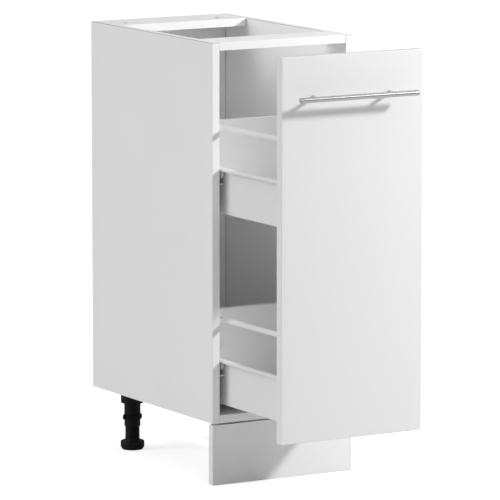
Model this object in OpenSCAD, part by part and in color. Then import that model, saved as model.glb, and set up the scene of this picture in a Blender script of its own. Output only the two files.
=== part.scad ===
// Narrow kitchen base cabinet: one tall front carries two deep drawers on roller runners.
// Sizes are in millimetres. +X is the cabinet's right, +Y its back and Z = 0 the floor.
// The drawers are drawn as they stand at rest, pulled part of the way out.

/* [Carcass] */
// Overall width across the side panels
cabinet_w = 300; // [280:5:600]
// Height of the side panels
carcass_h = 704; // [690:2:800]
// Depth of the side panels
carcass_d = 460; // [452:2:600]
// Thickness of the carcass and plinth boards
board_t = 15; // [15:0.5:19]
// Thickness of the hardboard back
back_t = 3; // [2.5:0.5:5]
// Service gap between the back and the rear edges
back_inset = 16; // [10:1:18]
// Depth of the grooves that hold the back
groove_depth = 7; // [4:0.5:8]
// Depth of the front rail, front to back
front_rail_d = 75; // [70:1:110]
// Depth of the rear rail, front to back
rear_rail_d = 98; // [94:1:120]
// Diameter of the worktop screw holes in the rear rail
worktop_hole_d = 9; // [5:0.5:10]
// Distance between the two worktop screw holes
worktop_hole_span = 200; // [120:2:210]
// How far the pair of worktop holes sits to the right of the middle
worktop_hole_shift = -10; // [-12:1:12]
// Distance from the rear rail's front edge to the worktop holes
worktop_hole_inset = 35; // [32:1:38]

/* [Carcass fittings] */
// Diameter of the wooden dowels
dowel_d = 8; // [6:1:8]
// Length of dowel inside a side panel
dowel_in_panel = 10; // [8:0.5:11]
// Length of dowel inside a rail or the bottom panel
dowel_in_board = 20; // [16:1:24]
// Diameter of a cam fitting
cam_d = 15; // [12:0.5:15]
// Height of a cam fitting
cam_h = 12; // [10:0.5:13]
// Distance from a side panel's inner face to a cam's centre
cam_setback = 24; // [22:1:34]
// Diameter of a cam bolt's thread
bolt_thread_d = 5; // [4:0.5:6]
// Length of a cam bolt's thread
bolt_thread_len = 11; // [8:0.5:12]
// Diameter of a cam bolt's head
bolt_head_d = 7; // [6:0.5:7.5]
// Diameter of a cam bolt's shaft
bolt_shaft_d = 4; // [3:0.5:5]

/* [Legs and plinth] */
// Height from the floor to the carcass
base_h = 116; // [110:1:130]
// Distance from a side panel's outer face to a leg's centre
leg_inset = 50; // [49:1:60]
// Distance from the carcass front to the front legs' centres
leg_front_y = 48; // [46:1:60]
// Distance from the carcass rear edges to the rear legs' centres
leg_rear_inset = 66; // [56:1:80]
// Side of a leg's square mounting plate
leg_plate_w = 60; // [54:1:60]
// Thickness of a leg's mounting plate
leg_plate_t = 4; // [3:0.5:6]
// Distance between a mounting plate's screws
leg_screw_span = 46; // [46:1:48]
// Diameter of the boss under a mounting plate
leg_boss_d = 44; // [38:1:46]
// Height of the boss
leg_boss_h = 22; // [16:1:24]
// Outer diameter of a leg's sleeve
leg_sleeve_d = 31.4; // [31:0.2:33]
// Length of the sleeve below the boss
leg_sleeve_h = 22.7; // [21:0.1:24]
// Diameter of the stem that slides in the sleeve
leg_stem_d = 28.6; // [26:0.2:29]
// Height of the adjusting ring's lugged rim
ring_rim_h = 8.5; // [6:0.5:9]
// Outer diameter of the rim
ring_rim_d = 33.6; // [33.2:0.2:36]
// Diameter across the ring's four lugs
ring_lug_span = 40; // [38:1:44]
// Width of a lug
ring_lug_w = 6; // [4:0.5:8]
// Height of the ring's plain skirt
ring_skirt_h = 13.5; // [8:0.5:16]
// Diameter of a foot's pad
foot_d = 45.5; // [41:0.5:50]
// Height of a foot's pad
foot_h = 17; // [12:1:18]
// Bevel round a foot's pad
foot_bevel = 2.5; // [1:0.5:4]
// Travel of a foot up into its sleeve
foot_up = 10; // [5:1:10]
// Gap between the floor and the plinth
plinth_floor_gap = 1; // [0.5:0.5:5]
// Gap between the plinth and the carcass
plinth_top_gap = 3; // [1:0.5:6]
// Width of a plinth clip's plate
clip_plate_w = 40; // [36:1:50]
// Thickness of the clip's plate and wall
clip_t = 2.5; // [2:0.25:3]
// Height of the clip's open ring
clip_h = 16; // [10:1:18]
// Height of the clip's plate
clip_plate_h = 34; // [30:1:40]
// Width of the web between plate and ring
clip_web_w = 14; // [8:1:18]

/* [Front] */
// Distance from a side panel's outer face to the front panel's side edge
front_side_gap = 1.5; // [0.5:0.5:4]
// Distance from the carcass top down to the front panel's top edge
front_top_gap = 4; // [1:0.5:10]
// Distance from the carcass bottom up to the front panel's bottom edge
front_lift = 1; // [0:0.5:6]
// Thickness of the front panel
front_t = 18; // [16:0.5:22]
// Bevel along the front panel's edges
front_bevel = 0.8; // [0.3:0.1:2]
// Distance from the carcass front to the front panel's back at rest
pull_out = 226; // [60:2:240]
// Diameter of a door buffer
buffer_d = 8; // [6:1:10]
// Thickness of a door buffer
buffer_t = 1.6; // [1:0.1:1.7]
// Distance from the front panel's top and bottom edges to the buffers
buffer_inset = 24; // [15:1:40]

/* [Handle] */
// Diameter of the bar
handle_d = 10; // [10:0.5:14]
// Length of the bar
handle_len = 248; // [190:2:260]
// Distance between the two posts
handle_span = 160; // [96:32:160]
// Distance from the front panel to the bar's axis
handle_reach = 30; // [24:1:40]
// Distance from the front panel's top edge to the bar's axis
handle_drop = 75; // [50:1:84]
// Distance from the front panel's middle to the handle's, to the right
handle_shift = -4; // [-14:1:14]
// Diameter of a post
post_d = 7; // [6:0.5:8]
// Depth of a post's seat in the bar
post_seat = 3; // [2:0.5:5]
// Bevel round the bar's ends
handle_bevel = 0.8; // [0.3:0.1:1.5]
// Diameter of a handle screw
handle_screw_d = 4; // [3.5:0.5:5]

/* [Drawers] */
// Height of the upper drawer's bottom edge above the carcass bottom
upper_rise = 387; // [350:1:394]
// Height of the lower drawer's bottom edge above the carcass bottom
lower_rise = 32; // [26:1:44]
// Length of a drawer side
drawer_len = 400; // [350:10:400]
// Height of a drawer side
side_h = 86; // [80:1:100]
// Thickness of the drawer side's sheet steel
sheet_t = 1.2; // [1:0.1:1.5]
// Gap between a side panel and a drawer side
side_gap = 13; // [13:0.25:14]
// Width of the flange that carries the drawer bottom
floor_flange_w = 17; // [14:1:22]
// Width of the drawer side's outward top lip
lip_w = 10; // [9.8:0.1:10.4]
// Height of the lip's down-turned edge
lip_drop = 5; // [3:0.5:6]
// Thickness of the drawer bottom and drawer back
drawer_board_t = 15; // [12:0.5:18]
// Height of the drawer back's top edge above the drawer side's bottom edge
drawer_back_h = 152; // [130:1:170]
// Diameter of a gallery rod
rod_d = 10; // [8:0.5:11]
// Distance from a drawer side's outer face in to the rod's axis
rod_inset = 4; // [3:0.5:6]
// Wall thickness of the cups that hold the rods
cup_wall = 1.4; // [1:0.1:2]
// Depth of the cups that hold the rods
cup_depth = 14; // [8:1:18]
// Diameter of a rod cup's stud in the front panel
stud_d = 6; // [5:0.5:8]
// Length of that stud
stud_len = 10; // [6:0.5:12]
// Reach of the rear brackets behind and beside the drawer back
bracket_leg = 28; // [22:1:36]
// Height of the rear brackets above the rod's axis
bracket_over = 8; // [7:0.5:12]
// Length of the front brackets along the drawer side
front_bracket_len = 36; // [24:1:60]
// Width of the front brackets on the front panel
front_bracket_w = 22; // [18:1:30]
// Height of the front brackets
front_bracket_h = 58; // [40:1:62]

/* [Runners] */
// Length of a cabinet runner
runner_len = 402; // [396:2:430]
// Distance from the carcass front to the runner's front end
runner_front = 2; // [1:0.5:3]
// Width of the runner's two flanges
runner_flange_w = 11.5; // [11:0.1:11.6]
// Inner height of the runner's channel
runner_channel_h = 20.6; // [20.6:0.1:21]
// Distance from the drawer side's top down to the channel
runner_drop = 8.2; // [8:0.1:9]
// Diameter of a drawer's rear roller
drawer_roller_d = 20; // [18:0.2:20]
// Diameter of a cabinet's front roller
cabinet_roller_d = 18; // [14:0.5:18]
// Width of a roller
roller_w = 6.4; // [5:0.2:6.8]
// Diameter of a roller's axle
axle_d = 5; // [4:0.25:6]
// Distance from the carcass front to the front roller's axle
front_axle_y = 12; // [10:0.5:14]
// Distance from a drawer side's rear end to the rear roller's axle
rear_axle_inset = 12; // [11:0.5:16]
// Distance from the carcass front to the first runner screw
runner_screw_y = 37; // [35:1:40]
// Distance between runner screws
runner_screw_step = 128; // [96:32:160]
// Number of screws in each runner
runner_screw_count = 3; // [2:1:3]

/* [Screws] */
// Diameter of the wood screws
wood_screw_d = 4; // [3:0.5:4]
// Diameter of a wood screw's head
wood_head_d = 7.5; // [6:0.5:8]
// Height of a wood screw's head
wood_head_h = 2; // [1.5:0.1:2.5]
// Length of a wood screw's thread inside its board
wood_grip = 11; // [8:0.5:12]
// Diameter of the runner screws
runner_screw_d = 6; // [4:0.5:6]
// Diameter of a runner screw's head
runner_head_d = 9; // [8:0.5:11]
// Height of a runner screw's head
runner_head_h = 1.8; // [1:0.1:2]
// Length of a runner screw inside its side panel
runner_grip = 12; // [8:0.5:12.5]

/* [Fits] */
// Radial clearance of dowels, screws, studs and rods in their holes
hole_fit = 0.05; // [0.02:0.01:0.1]
// Radial clearance of rollers on axles and stems in sleeves
running_fit = 0.06; // [0.02:0.01:0.1]
// Clearance of boards in grooves and between neighbouring parts
board_fit = 0.3; // [0.1:0.05:0.4]
// Clearance between a roller and its track
track_fit = 0.3; // [0.2:0.05:0.4]

/* [Hidden] */
$fn = 48;
cut = 0.5;
top_z = base_h + carcass_h;
panel_in = cabinet_w / 2 - board_t;
rail_z = top_z - board_t / 2;
floor_z = base_h + board_t / 2;
back_y = carcass_d - back_inset - back_t;
rear_rail_y = carcass_d - rear_rail_d;
leg_x = cabinet_w / 2 - leg_inset;
leg_rear_y = carcass_d - leg_rear_inset;
leg_ys = [leg_front_y, leg_rear_y];

front_w = cabinet_w - 2 * front_side_gap;
front_h = carcass_h - front_lift - front_top_gap;
front_y = -pull_out;
front_z = base_h + front_lift;
handle_y = front_y - front_t - handle_reach;
handle_z = front_z + front_h - handle_drop;
handle_hole_play = 0.25;
handle_screw_grip = 14;
origin_y = -(carcass_d + handle_y - handle_d / 2) / 2;

side_x = panel_in - side_gap;
web_in = side_x - sheet_t;
drawer_rear_y = front_y + drawer_len;
drawer_back_y = drawer_rear_y - sheet_t - drawer_board_t;
drawer_floor_top = sheet_t + drawer_board_t;
cup_r = rod_d / 2 + hole_fit + cup_wall;
rod_z = drawer_back_h + cup_r + hole_fit;
rod_x = side_x - rod_inset;
bracket_top = rod_z + bracket_over;
bracket_screw_x = web_in - sheet_t - (bracket_leg - sheet_t) / 2;
bracket_screw_inset = 25;
bracket_screw_zs = [drawer_floor_top + bracket_screw_inset, drawer_back_h - bracket_screw_inset];
front_bracket_lift = 3;
front_bracket_z = drawer_floor_top + front_bracket_lift;
front_bracket_screw_x = web_in - sheet_t - (front_bracket_w - sheet_t) / 2;
front_bracket_screw_inset = 14;
front_bracket_screw_zs = [
    front_bracket_z + front_bracket_screw_inset,
    front_bracket_z + front_bracket_h - front_bracket_screw_inset
];
floor_screw_x = web_in - (floor_flange_w - sheet_t) / 2;
floor_screw_count = 3;
floor_screw_ys = [
    for (i = [1 : floor_screw_count]) front_y + drawer_len * i / (floor_screw_count + 1)
];

track_top = side_h - runner_drop;
track_bottom = track_top - runner_channel_h;
runner_web_in = panel_in - sheet_t;
runner_screw_z = (track_top + track_bottom) / 2;
runner_screw_ys = [
    for (i = [0 : runner_screw_count - 1]) runner_screw_y + i * runner_screw_step
];
roller_x = side_x + (lip_w - sheet_t) / 2;
rear_axle_y = drawer_rear_y - rear_axle_inset;
rear_axle_z = track_bottom + track_fit + drawer_roller_d / 2;
front_axle_z = side_h - sheet_t - track_fit - cabinet_roller_d / 2;
axle_head_t = 0.6;
axle_head_rim = 1.5;
axle_play = 0.2;
axle_reach = roller_w / 2 + axle_play + axle_head_t;
flange_gap = 2;
top_flange_y = front_axle_y + cabinet_roller_d / 2 + flange_gap;

boss_bottom_z = base_h - leg_plate_t - leg_boss_h;
sleeve_bottom_z = boss_bottom_z - leg_sleeve_h;
ring_gap = 0.3;
ring_top_z = sleeve_bottom_z - ring_gap;
rim_bottom_z = ring_top_z - ring_rim_h;
skirt_bottom_z = rim_bottom_z - ring_skirt_h;
skirt_step = 0.25;
skirt_d = leg_sleeve_d - 2 * skirt_step;
stem_end_gap = 2;
stem_bore_top_z = base_h - leg_plate_t - stem_end_gap;
stem_top_z = stem_bore_top_z - stem_end_gap - foot_up;

plinth_h = base_h - plinth_floor_gap - plinth_top_gap;
clip_z = (ring_top_z + boss_bottom_z - clip_h) / 2;
clip_ring_r = leg_sleeve_d / 2 + hole_fit;
clip_screw_z = clip_z - (clip_plate_h - clip_h) / 2;
clip_screw_x = clip_plate_w / 3;

bolt_bore_play = 0.5;
bolt_collar_t = 2;
bolt_tip_t = 3;
head_taper = 0.8;
front_cam_y = 25;
front_dowel_y = 55;
rear_cam_inset = 30;
rear_dowel_inset = 13;
plate_to_dowel = 12;
dowel_to_cam = 18;
floor_dowel_reach = leg_plate_w / 2 + plate_to_dowel;
floor_cam_reach = floor_dowel_reach + dowel_to_cam;
cam_spots = [
    [front_cam_y, rail_z],
    [carcass_d - rear_cam_inset, rail_z],
    [leg_front_y + floor_cam_reach, floor_z],
    [leg_rear_y - floor_cam_reach, floor_z]
];
dowel_spots = [
    [front_dowel_y, rail_z],
    [rear_rail_y + rear_dowel_inset, rail_z],
    [leg_front_y + floor_dowel_reach, floor_z],
    [leg_rear_y - floor_dowel_reach, floor_z]
];
worktop_xs = [
    worktop_hole_shift - worktop_hole_span / 2,
    worktop_hole_shift + worktop_hole_span / 2
];

// Moves a piece from the carcass front plane to the model's origin
module placed() translate([0, origin_y, 0]) children();

// Pieces are drawn on the left, at negative X, and mirrored for the right
module on_side(side) placed() mirror([side == "right" ? 1 : 0, 0, 0]) children();

module both_sides() {
    placed() children();
    placed() mirror([1, 0, 0]) children();
}

module at_posts() placed()
    for (side = [-1, 1])
        translate([handle_shift + side * handle_span / 2, 0, handle_z]) children();

function level_z(level) = base_h + (level == "upper" ? upper_rise : lower_rise);

module along_x(d, len) rotate([0, 90, 0]) cylinder(d = d, h = len);

module along_y(d, len) rotate([-90, 0, 0]) cylinder(d = d, h = len);

// A round-headed screw with its head's seat at the origin, driven along +Z
module screw(shank_d, grip, head_d, head_h) {
    cylinder(d = shank_d, h = grip);
    translate([0, 0, -head_h]) cylinder(d1 = head_d * head_taper, d2 = head_d, h = head_h);
}

// Holes in a side panel for dowels, cam bolts and runner screws
module side_panel_holes() {
    for (spot = dowel_spots)
        translate([-panel_in - dowel_in_panel - cut, spot[0], spot[1]])
            along_x(dowel_d + 2 * hole_fit, dowel_in_panel + 2 * cut);
    for (spot = cam_spots)
        translate([-panel_in - bolt_thread_len - cut, spot[0], spot[1]])
            along_x(bolt_thread_d + 2 * hole_fit, bolt_thread_len + 2 * cut);
    for (level = ["upper", "lower"], y = runner_screw_ys)
        translate([-panel_in - runner_grip - cut, y, level_z(level) + runner_screw_z])
            along_x(runner_screw_d + 2 * hole_fit, runner_grip + 2 * cut);
}

// The groove for the back runs between the rear rail's groove and the bottom panel's
module side_panel_groove()
    translate([-panel_in - groove_depth, back_y - board_fit, base_h + board_t - groove_depth])
        cube([
            groove_depth + cut,
            back_t + 2 * board_fit,
            carcass_h - 2 * board_t + 2 * groove_depth
        ]);

module side_panel(side) color("whitesmoke") on_side(side) difference() {
    translate([-cabinet_w / 2, 0, base_h]) cube([board_t, carcass_d, carcass_h]);
    side_panel_holes();
    side_panel_groove();
}

// Holes in both ends of the boards between the side panels
module board_end_holes() both_sides() {
    for (spot = dowel_spots)
        translate([-panel_in - cut, spot[0], spot[1]])
            along_x(dowel_d + 2 * hole_fit, dowel_in_board + 2 * cut);
    for (spot = cam_spots) {
        translate([-panel_in - cut, spot[0], spot[1]])
            along_x(bolt_head_d + 2 * bolt_bore_play, cam_setback + cut);
        translate([-panel_in + cam_setback, spot[0], spot[1] - board_t / 2 - cut])
            cylinder(d = cam_d + 2 * hole_fit, h = cam_h + cut);
    }
}

module board(y, z, depth)
    placed() translate([-panel_in, y, z]) cube([2 * panel_in, depth, board_t]);

module back_groove(z)
    placed() translate([-panel_in - cut, back_y - board_fit, z])
        cube([2 * panel_in + 2 * cut, back_t + 2 * board_fit, groove_depth + cut]);

module bottom_panel() color("whitesmoke") difference() {
    board(0, base_h, carcass_d);
    board_end_holes();
    back_groove(base_h + board_t - groove_depth);
    each_leg_screw() translate([0, 0, -cut])
        cylinder(d = wood_screw_d + 2 * hole_fit, h = wood_grip + 2 * cut);
}

module front_rail() color("white") difference() {
    board(0, top_z - board_t, front_rail_d);
    board_end_holes();
}

module rear_rail() color("white") difference() {
    board(rear_rail_y, top_z - board_t, rear_rail_d);
    board_end_holes();
    back_groove(top_z - board_t - cut);
    placed() for (x = worktop_xs)
        translate([x, rear_rail_y + worktop_hole_inset, top_z - board_t - cut])
            cylinder(d = worktop_hole_d, h = board_t + 2 * cut);
}

module back_panel() color("gainsboro") placed()
    translate([
        -panel_in - groove_depth + board_fit,
        back_y,
        base_h + board_t - groove_depth + board_fit
    ])
        cube([
            2 * (panel_in + groove_depth - board_fit),
            back_t,
            carcass_h - 2 * board_t + 2 * (groove_depth - board_fit)
        ]);

module carcass_dowels() color("burlywood") both_sides()
    for (spot = dowel_spots)
        translate([-panel_in - dowel_in_panel, spot[0], spot[1]])
            along_x(dowel_d, dowel_in_panel + dowel_in_board);

module cam_bolts() color("silver") both_sides()
    for (spot = cam_spots)
        translate([-panel_in, spot[0], spot[1]]) {
            translate([-bolt_thread_len, 0, 0]) along_x(bolt_thread_d, bolt_thread_len);
            along_x(bolt_head_d, bolt_collar_t);
            along_x(bolt_shaft_d, cam_setback - bolt_tip_t + cut);
            translate([cam_setback - bolt_tip_t, 0, 0]) along_x(bolt_head_d, bolt_tip_t);
        }

module cam_housings() color("silver") both_sides()
    for (spot = cam_spots)
        translate([-panel_in + cam_setback, spot[0], spot[1]]) difference() {
            translate([0, 0, -board_t / 2]) cylinder(d = cam_d, h = cam_h - hole_fit);
            translate([-cam_d / 2 - cut, 0, 0])
                along_x(bolt_head_d + bolt_bore_play, cam_d / 2 + 2 * cut);
        }

// Legs
module at_leg(side, y) on_side(side) translate([-leg_x, y, 0]) children();

module each_leg() for (side = ["left", "right"], y = leg_ys) at_leg(side, y) children();

module each_plate_screw()
    for (dx = [-1, 1], dy = [-1, 1])
        translate([dx * leg_screw_span / 2, dy * leg_screw_span / 2, 0]) children();

module each_leg_screw() each_leg() each_plate_screw() translate([0, 0, base_h]) children();

module leg_socket(side, y) color("#1c1c1e") at_leg(side, y) difference() {
    union() {
        translate([-leg_plate_w / 2, -leg_plate_w / 2, base_h - leg_plate_t])
            cube([leg_plate_w, leg_plate_w, leg_plate_t]);
        translate([0, 0, boss_bottom_z]) cylinder(d = leg_boss_d, h = leg_boss_h);
        translate([0, 0, sleeve_bottom_z]) cylinder(d = leg_sleeve_d, h = leg_sleeve_h + cut);
    }
    translate([0, 0, sleeve_bottom_z - cut])
        cylinder(d = leg_stem_d + 2 * running_fit, h = stem_bore_top_z - sleeve_bottom_z + cut);
    each_plate_screw() translate([0, 0, base_h - leg_plate_t - cut])
        cylinder(d = wood_screw_d + 2 * hole_fit, h = leg_plate_t + 2 * cut);
}

module leg_screws() color("silver") each_leg_screw() translate([0, 0, -leg_plate_t])
    screw(wood_screw_d, leg_plate_t + wood_grip, wood_head_d, wood_head_h);

module leg_ring(side, y) color("#202022") at_leg(side, y) difference() {
    union() {
        translate([0, 0, rim_bottom_z]) cylinder(d = ring_rim_d, h = ring_rim_h);
        translate([0, 0, skirt_bottom_z]) cylinder(d = skirt_d, h = ring_skirt_h + cut);
        for (turn = [0 : 90 : 270])
            rotate([0, 0, turn]) translate([0, -ring_lug_w / 2, rim_bottom_z])
                cube([ring_lug_span / 2, ring_lug_w, ring_rim_h]);
    }
    translate([0, 0, skirt_bottom_z - cut])
        cylinder(d = leg_stem_d + 2 * running_fit, h = ring_rim_h + ring_skirt_h + 2 * cut);
}

module leg_foot(side, y) color("#18181a") at_leg(side, y) rotate_extrude() polygon([
    [0, 0],
    [foot_d / 2 - foot_bevel, 0],
    [foot_d / 2, foot_bevel],
    [foot_d / 2, foot_h - foot_bevel],
    [foot_d / 2 - foot_bevel, foot_h],
    [leg_stem_d / 2, foot_h],
    [leg_stem_d / 2, stem_top_z],
    [0, stem_top_z]
]);

// Plinth
module plinth_board() color("white") difference() {
    placed() translate([-cabinet_w / 2, 0, plinth_floor_gap]) cube([cabinet_w, board_t, plinth_h]);
    each_clip_screw() cylinder(d = wood_screw_d + 2 * hole_fit, h = wood_grip + cut);
}

module each_clip_screw()
    for (side = ["left", "right"], dx = [-1, 1])
        at_leg(side, board_t) translate([dx * clip_screw_x, 0, clip_screw_z])
            rotate([90, 0, 0]) children();

module plinth_clip() difference() {
    union() {
        translate([-clip_plate_w / 2, board_t - leg_front_y, clip_z + clip_h - clip_plate_h])
            cube([clip_plate_w, clip_t, clip_plate_h]);
        translate([-clip_web_w / 2, board_t - leg_front_y, clip_z])
            cube([clip_web_w, leg_front_y - board_t - clip_ring_r, clip_h]);
        translate([0, 0, clip_z]) cylinder(r = clip_ring_r + clip_t, h = clip_h);
    }
    translate([0, 0, clip_z - cut]) cylinder(r = clip_ring_r, h = clip_h + 2 * cut);
    translate([-clip_ring_r - clip_t - cut, clip_ring_r / 2, clip_z - cut])
        cube([2 * (clip_ring_r + clip_t + cut), clip_ring_r + clip_t, clip_h + 2 * cut]);
    for (dx = [-1, 1])
        translate([dx * clip_screw_x, board_t - leg_front_y - cut, clip_screw_z])
            along_y(wood_screw_d + 2 * hole_fit, clip_t + 2 * cut);
}

module plinth_clips() color("#2a2a2c")
    for (side = ["left", "right"]) at_leg(side, leg_front_y) plinth_clip();

module plinth_clip_screws() color("silver") each_clip_screw() translate([0, 0, -clip_t])
    screw(wood_screw_d, clip_t + wood_grip, wood_head_d, wood_head_h);

// A stub axle for a roller, pointing along +X with its headed end at the origin
module axle(len) {
    translate([-len, 0, 0]) along_x(axle_d, len);
    translate([-axle_head_t, 0, 0]) along_x(axle_d + 2 * axle_head_rim, axle_head_t);
}

// Runners: a channel open towards the drawer, with an axle at its front end
module runner(level, side) color("white")
on_side(side) translate([0, 0, level_z(level)]) difference() {
    union() {
        translate([-panel_in, runner_front, track_bottom - sheet_t])
            cube([sheet_t, runner_len, runner_channel_h + 2 * sheet_t]);
        translate([-panel_in, runner_front, track_bottom - sheet_t])
            cube([runner_flange_w, runner_len, sheet_t]);
        translate([-panel_in, top_flange_y, track_top])
            cube([runner_flange_w, runner_front + runner_len - top_flange_y, sheet_t]);
        translate([-roller_x + axle_reach, front_axle_y, front_axle_z])
            axle(panel_in - roller_x + axle_reach);
    }
    for (y = runner_screw_ys)
        translate([-panel_in - cut, y, runner_screw_z])
            along_x(runner_screw_d + 2 * hole_fit, sheet_t + 2 * cut);
}

module runner_screws() color("silver") both_sides()
    for (level = ["upper", "lower"], y = runner_screw_ys)
        translate([-runner_web_in, y, level_z(level) + runner_screw_z]) rotate([0, -90, 0])
            screw(runner_screw_d, runner_grip + sheet_t, runner_head_d, runner_head_h);

module roller(d) difference() {
    along_x(d, roller_w);
    translate([-cut, 0, 0]) along_x(axle_d + 2 * running_fit, roller_w + 2 * cut);
}

module cabinet_roller(level, side) color("snow") on_side(side)
    translate([-roller_x - roller_w / 2, front_axle_y, level_z(level) + front_axle_z])
        roller(cabinet_roller_d);

module drawer_roller(level, side) color("snow") on_side(side)
    translate([-roller_x - roller_w / 2, rear_axle_y, level_z(level) + rear_axle_z])
        roller(drawer_roller_d);

// Front
module front_outline(w, h, bevel) polygon([
    [bevel, 0], [w - bevel, 0], [w, bevel], [w, h - bevel],
    [w - bevel, h], [bevel, h], [0, h - bevel], [0, bevel]
]);

module front_block() translate([-front_w / 2, front_y - front_t, front_z]) intersection() {
    linear_extrude(front_h) front_outline(front_w, front_t, front_bevel);
    translate([front_w, 0, 0]) rotate([0, -90, 0]) linear_extrude(front_w)
        front_outline(front_h, front_t, front_bevel);
    translate([0, front_t, 0]) rotate([90, 0, 0]) linear_extrude(front_t)
        front_outline(front_w, front_h, front_bevel);
}

module front_panel() color("white") difference() {
    placed() front_block();
    at_posts() translate([0, front_y - front_t - cut, 0])
        along_y(handle_screw_d + 2 * handle_hole_play, front_t + 2 * cut);
    both_sides() {
        for (level = ["upper", "lower"]) {
            translate([-rod_x, front_y - stud_len - cut, level_z(level) + rod_z])
                along_y(stud_d + 2 * hole_fit, stud_len + 2 * cut);
            for (z = front_bracket_screw_zs)
                translate([-front_bracket_screw_x, front_y - wood_grip - cut, level_z(level) + z])
                    along_y(wood_screw_d + 2 * hole_fit, wood_grip + 2 * cut);
        }
    }
}

module door_buffers() color("gainsboro") both_sides()
    for (z = [front_z + buffer_inset, front_z + front_h - buffer_inset])
        translate([-cabinet_w / 2 + board_t / 2, front_y, z]) along_y(buffer_d, buffer_t);

module handle_bar() color("silver") difference() {
    placed() translate([handle_shift - handle_len / 2, handle_y, handle_z]) rotate([0, 90, 0])
        rotate_extrude() polygon([
            [0, 0],
            [handle_d / 2 - handle_bevel, 0],
            [handle_d / 2, handle_bevel],
            [handle_d / 2, handle_len - handle_bevel],
            [handle_d / 2 - handle_bevel, handle_len],
            [0, handle_len]
        ]);
    at_posts() translate([0, handle_y + handle_d / 2 - post_seat, 0])
        along_y(post_d + 2 * hole_fit, handle_d);
}

module handle_posts() color("silver") at_posts() difference() {
    translate([0, handle_y + handle_d / 2 - post_seat, 0])
        along_y(post_d, handle_reach - handle_d / 2 + post_seat);
    translate([0, front_y - front_t - handle_screw_grip - cut, 0])
        along_y(handle_screw_d + 2 * hole_fit, handle_screw_grip + 2 * cut);
}

module handle_screws() color("silver") at_posts() translate([0, front_y, 0]) rotate([90, 0, 0])
    screw(handle_screw_d, front_t + handle_screw_grip, wood_head_d, wood_head_h);

// Drawers: all heights are above the drawer side's bottom edge
module drawer_side(level, side) color("white")
on_side(side) translate([0, 0, level_z(level)]) difference() {
    union() {
        translate([-side_x, front_y, 0]) cube([sheet_t, drawer_len, side_h]);
        translate([-side_x, front_y, 0]) cube([floor_flange_w, drawer_len, sheet_t]);
        translate([-side_x - lip_w, front_y, side_h - sheet_t])
            cube([lip_w + sheet_t, drawer_len, sheet_t]);
        translate([-side_x - lip_w, front_y, side_h - lip_drop])
            cube([sheet_t, drawer_len, lip_drop]);
        translate([-roller_x - axle_reach, rear_axle_y, rear_axle_z])
            mirror([1, 0, 0]) axle(roller_x + axle_reach - web_in);
    }
    for (y = floor_screw_ys)
        translate([-floor_screw_x, y, -cut])
            cylinder(d = wood_screw_d + 2 * hole_fit, h = sheet_t + 2 * cut);
}

module drawer_bottom(level) color("white") placed() translate([0, 0, level_z(level)]) difference() {
    translate([-web_in + board_fit, front_y + board_fit, sheet_t])
        cube([2 * (web_in - board_fit), drawer_len - sheet_t - board_fit, drawer_board_t]);
    for (side = [-1, 1], y = floor_screw_ys)
        translate([side * floor_screw_x, y, sheet_t - cut])
            cylinder(d = wood_screw_d + 2 * hole_fit, h = wood_grip + 2 * cut);
}

module drawer_back(level) color("white") placed() translate([0, 0, level_z(level)]) difference() {
    translate([-web_in + sheet_t + board_fit, drawer_back_y, drawer_floor_top])
        cube([2 * (web_in - sheet_t - board_fit), drawer_board_t, drawer_back_h - drawer_floor_top]);
    for (side = [-1, 1], z = bracket_screw_zs)
        translate([side * bracket_screw_x, drawer_back_y + drawer_board_t - wood_grip - cut, z])
            along_y(wood_screw_d + 2 * hole_fit, wood_grip + 2 * cut);
}

module gallery_rods(level) color("gainsboro") both_sides()
    translate([-rod_x, front_y + board_fit, level_z(level) + rod_z])
        along_y(rod_d, drawer_len - sheet_t - 2 * board_fit);

module rod_cup() difference() {
    along_y(2 * cup_r, cup_depth);
    translate([0, board_fit, 0]) along_y(rod_d + 2 * hole_fit, cup_depth);
}

module rod_cups() color("gainsboro") both_sides()
    for (level = ["upper", "lower"])
        translate([-rod_x, front_y, level_z(level) + rod_z]) {
            rod_cup();
            translate([0, -stud_len, 0]) along_y(stud_d, stud_len + board_fit / 2);
        }

// One rear bracket joins a drawer side, the drawer back and a gallery rod
module rear_brackets(level) color("gainsboro")
both_sides() translate([0, 0, level_z(level)]) difference() {
    union() {
        translate([-web_in, drawer_rear_y - bracket_leg, drawer_floor_top])
            cube([sheet_t, bracket_leg, drawer_back_h - drawer_floor_top]);
        translate([-web_in, drawer_rear_y - sheet_t, drawer_floor_top])
            cube([bracket_leg, sheet_t, bracket_top - drawer_floor_top]);
        translate([-rod_x - cup_r, drawer_rear_y - sheet_t, drawer_back_h])
            cube([cup_r, sheet_t, bracket_top - drawer_back_h]);
        translate([-rod_x, drawer_rear_y - sheet_t - cup_depth, rod_z])
            along_y(2 * cup_r, cup_depth + sheet_t / 2);
    }
    translate([-rod_x, drawer_rear_y - sheet_t - cup_depth - cut, rod_z])
        along_y(rod_d + 2 * hole_fit, cup_depth + cut);
    for (z = bracket_screw_zs)
        translate([-bracket_screw_x, drawer_rear_y - sheet_t - cut, z])
            along_y(wood_screw_d + 2 * hole_fit, sheet_t + 2 * cut);
}

module front_brackets() color("gainsboro") both_sides()
    for (level = ["upper", "lower"])
        translate([-web_in, front_y, level_z(level) + front_bracket_z]) difference() {
            union() {
                cube([sheet_t, front_bracket_len, front_bracket_h]);
                cube([front_bracket_w, sheet_t, front_bracket_h]);
            }
            for (z = front_bracket_screw_zs)
                translate([web_in - front_bracket_screw_x, -cut, z - front_bracket_z])
                    along_y(wood_screw_d + 2 * hole_fit, sheet_t + 2 * cut);
        }

module front_bracket_screws() color("silver") both_sides()
    for (level = ["upper", "lower"], z = front_bracket_screw_zs)
        translate([-front_bracket_screw_x, front_y + sheet_t, level_z(level) + z]) rotate([90, 0, 0])
            screw(wood_screw_d, sheet_t + wood_grip, wood_head_d, wood_head_h);

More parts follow.
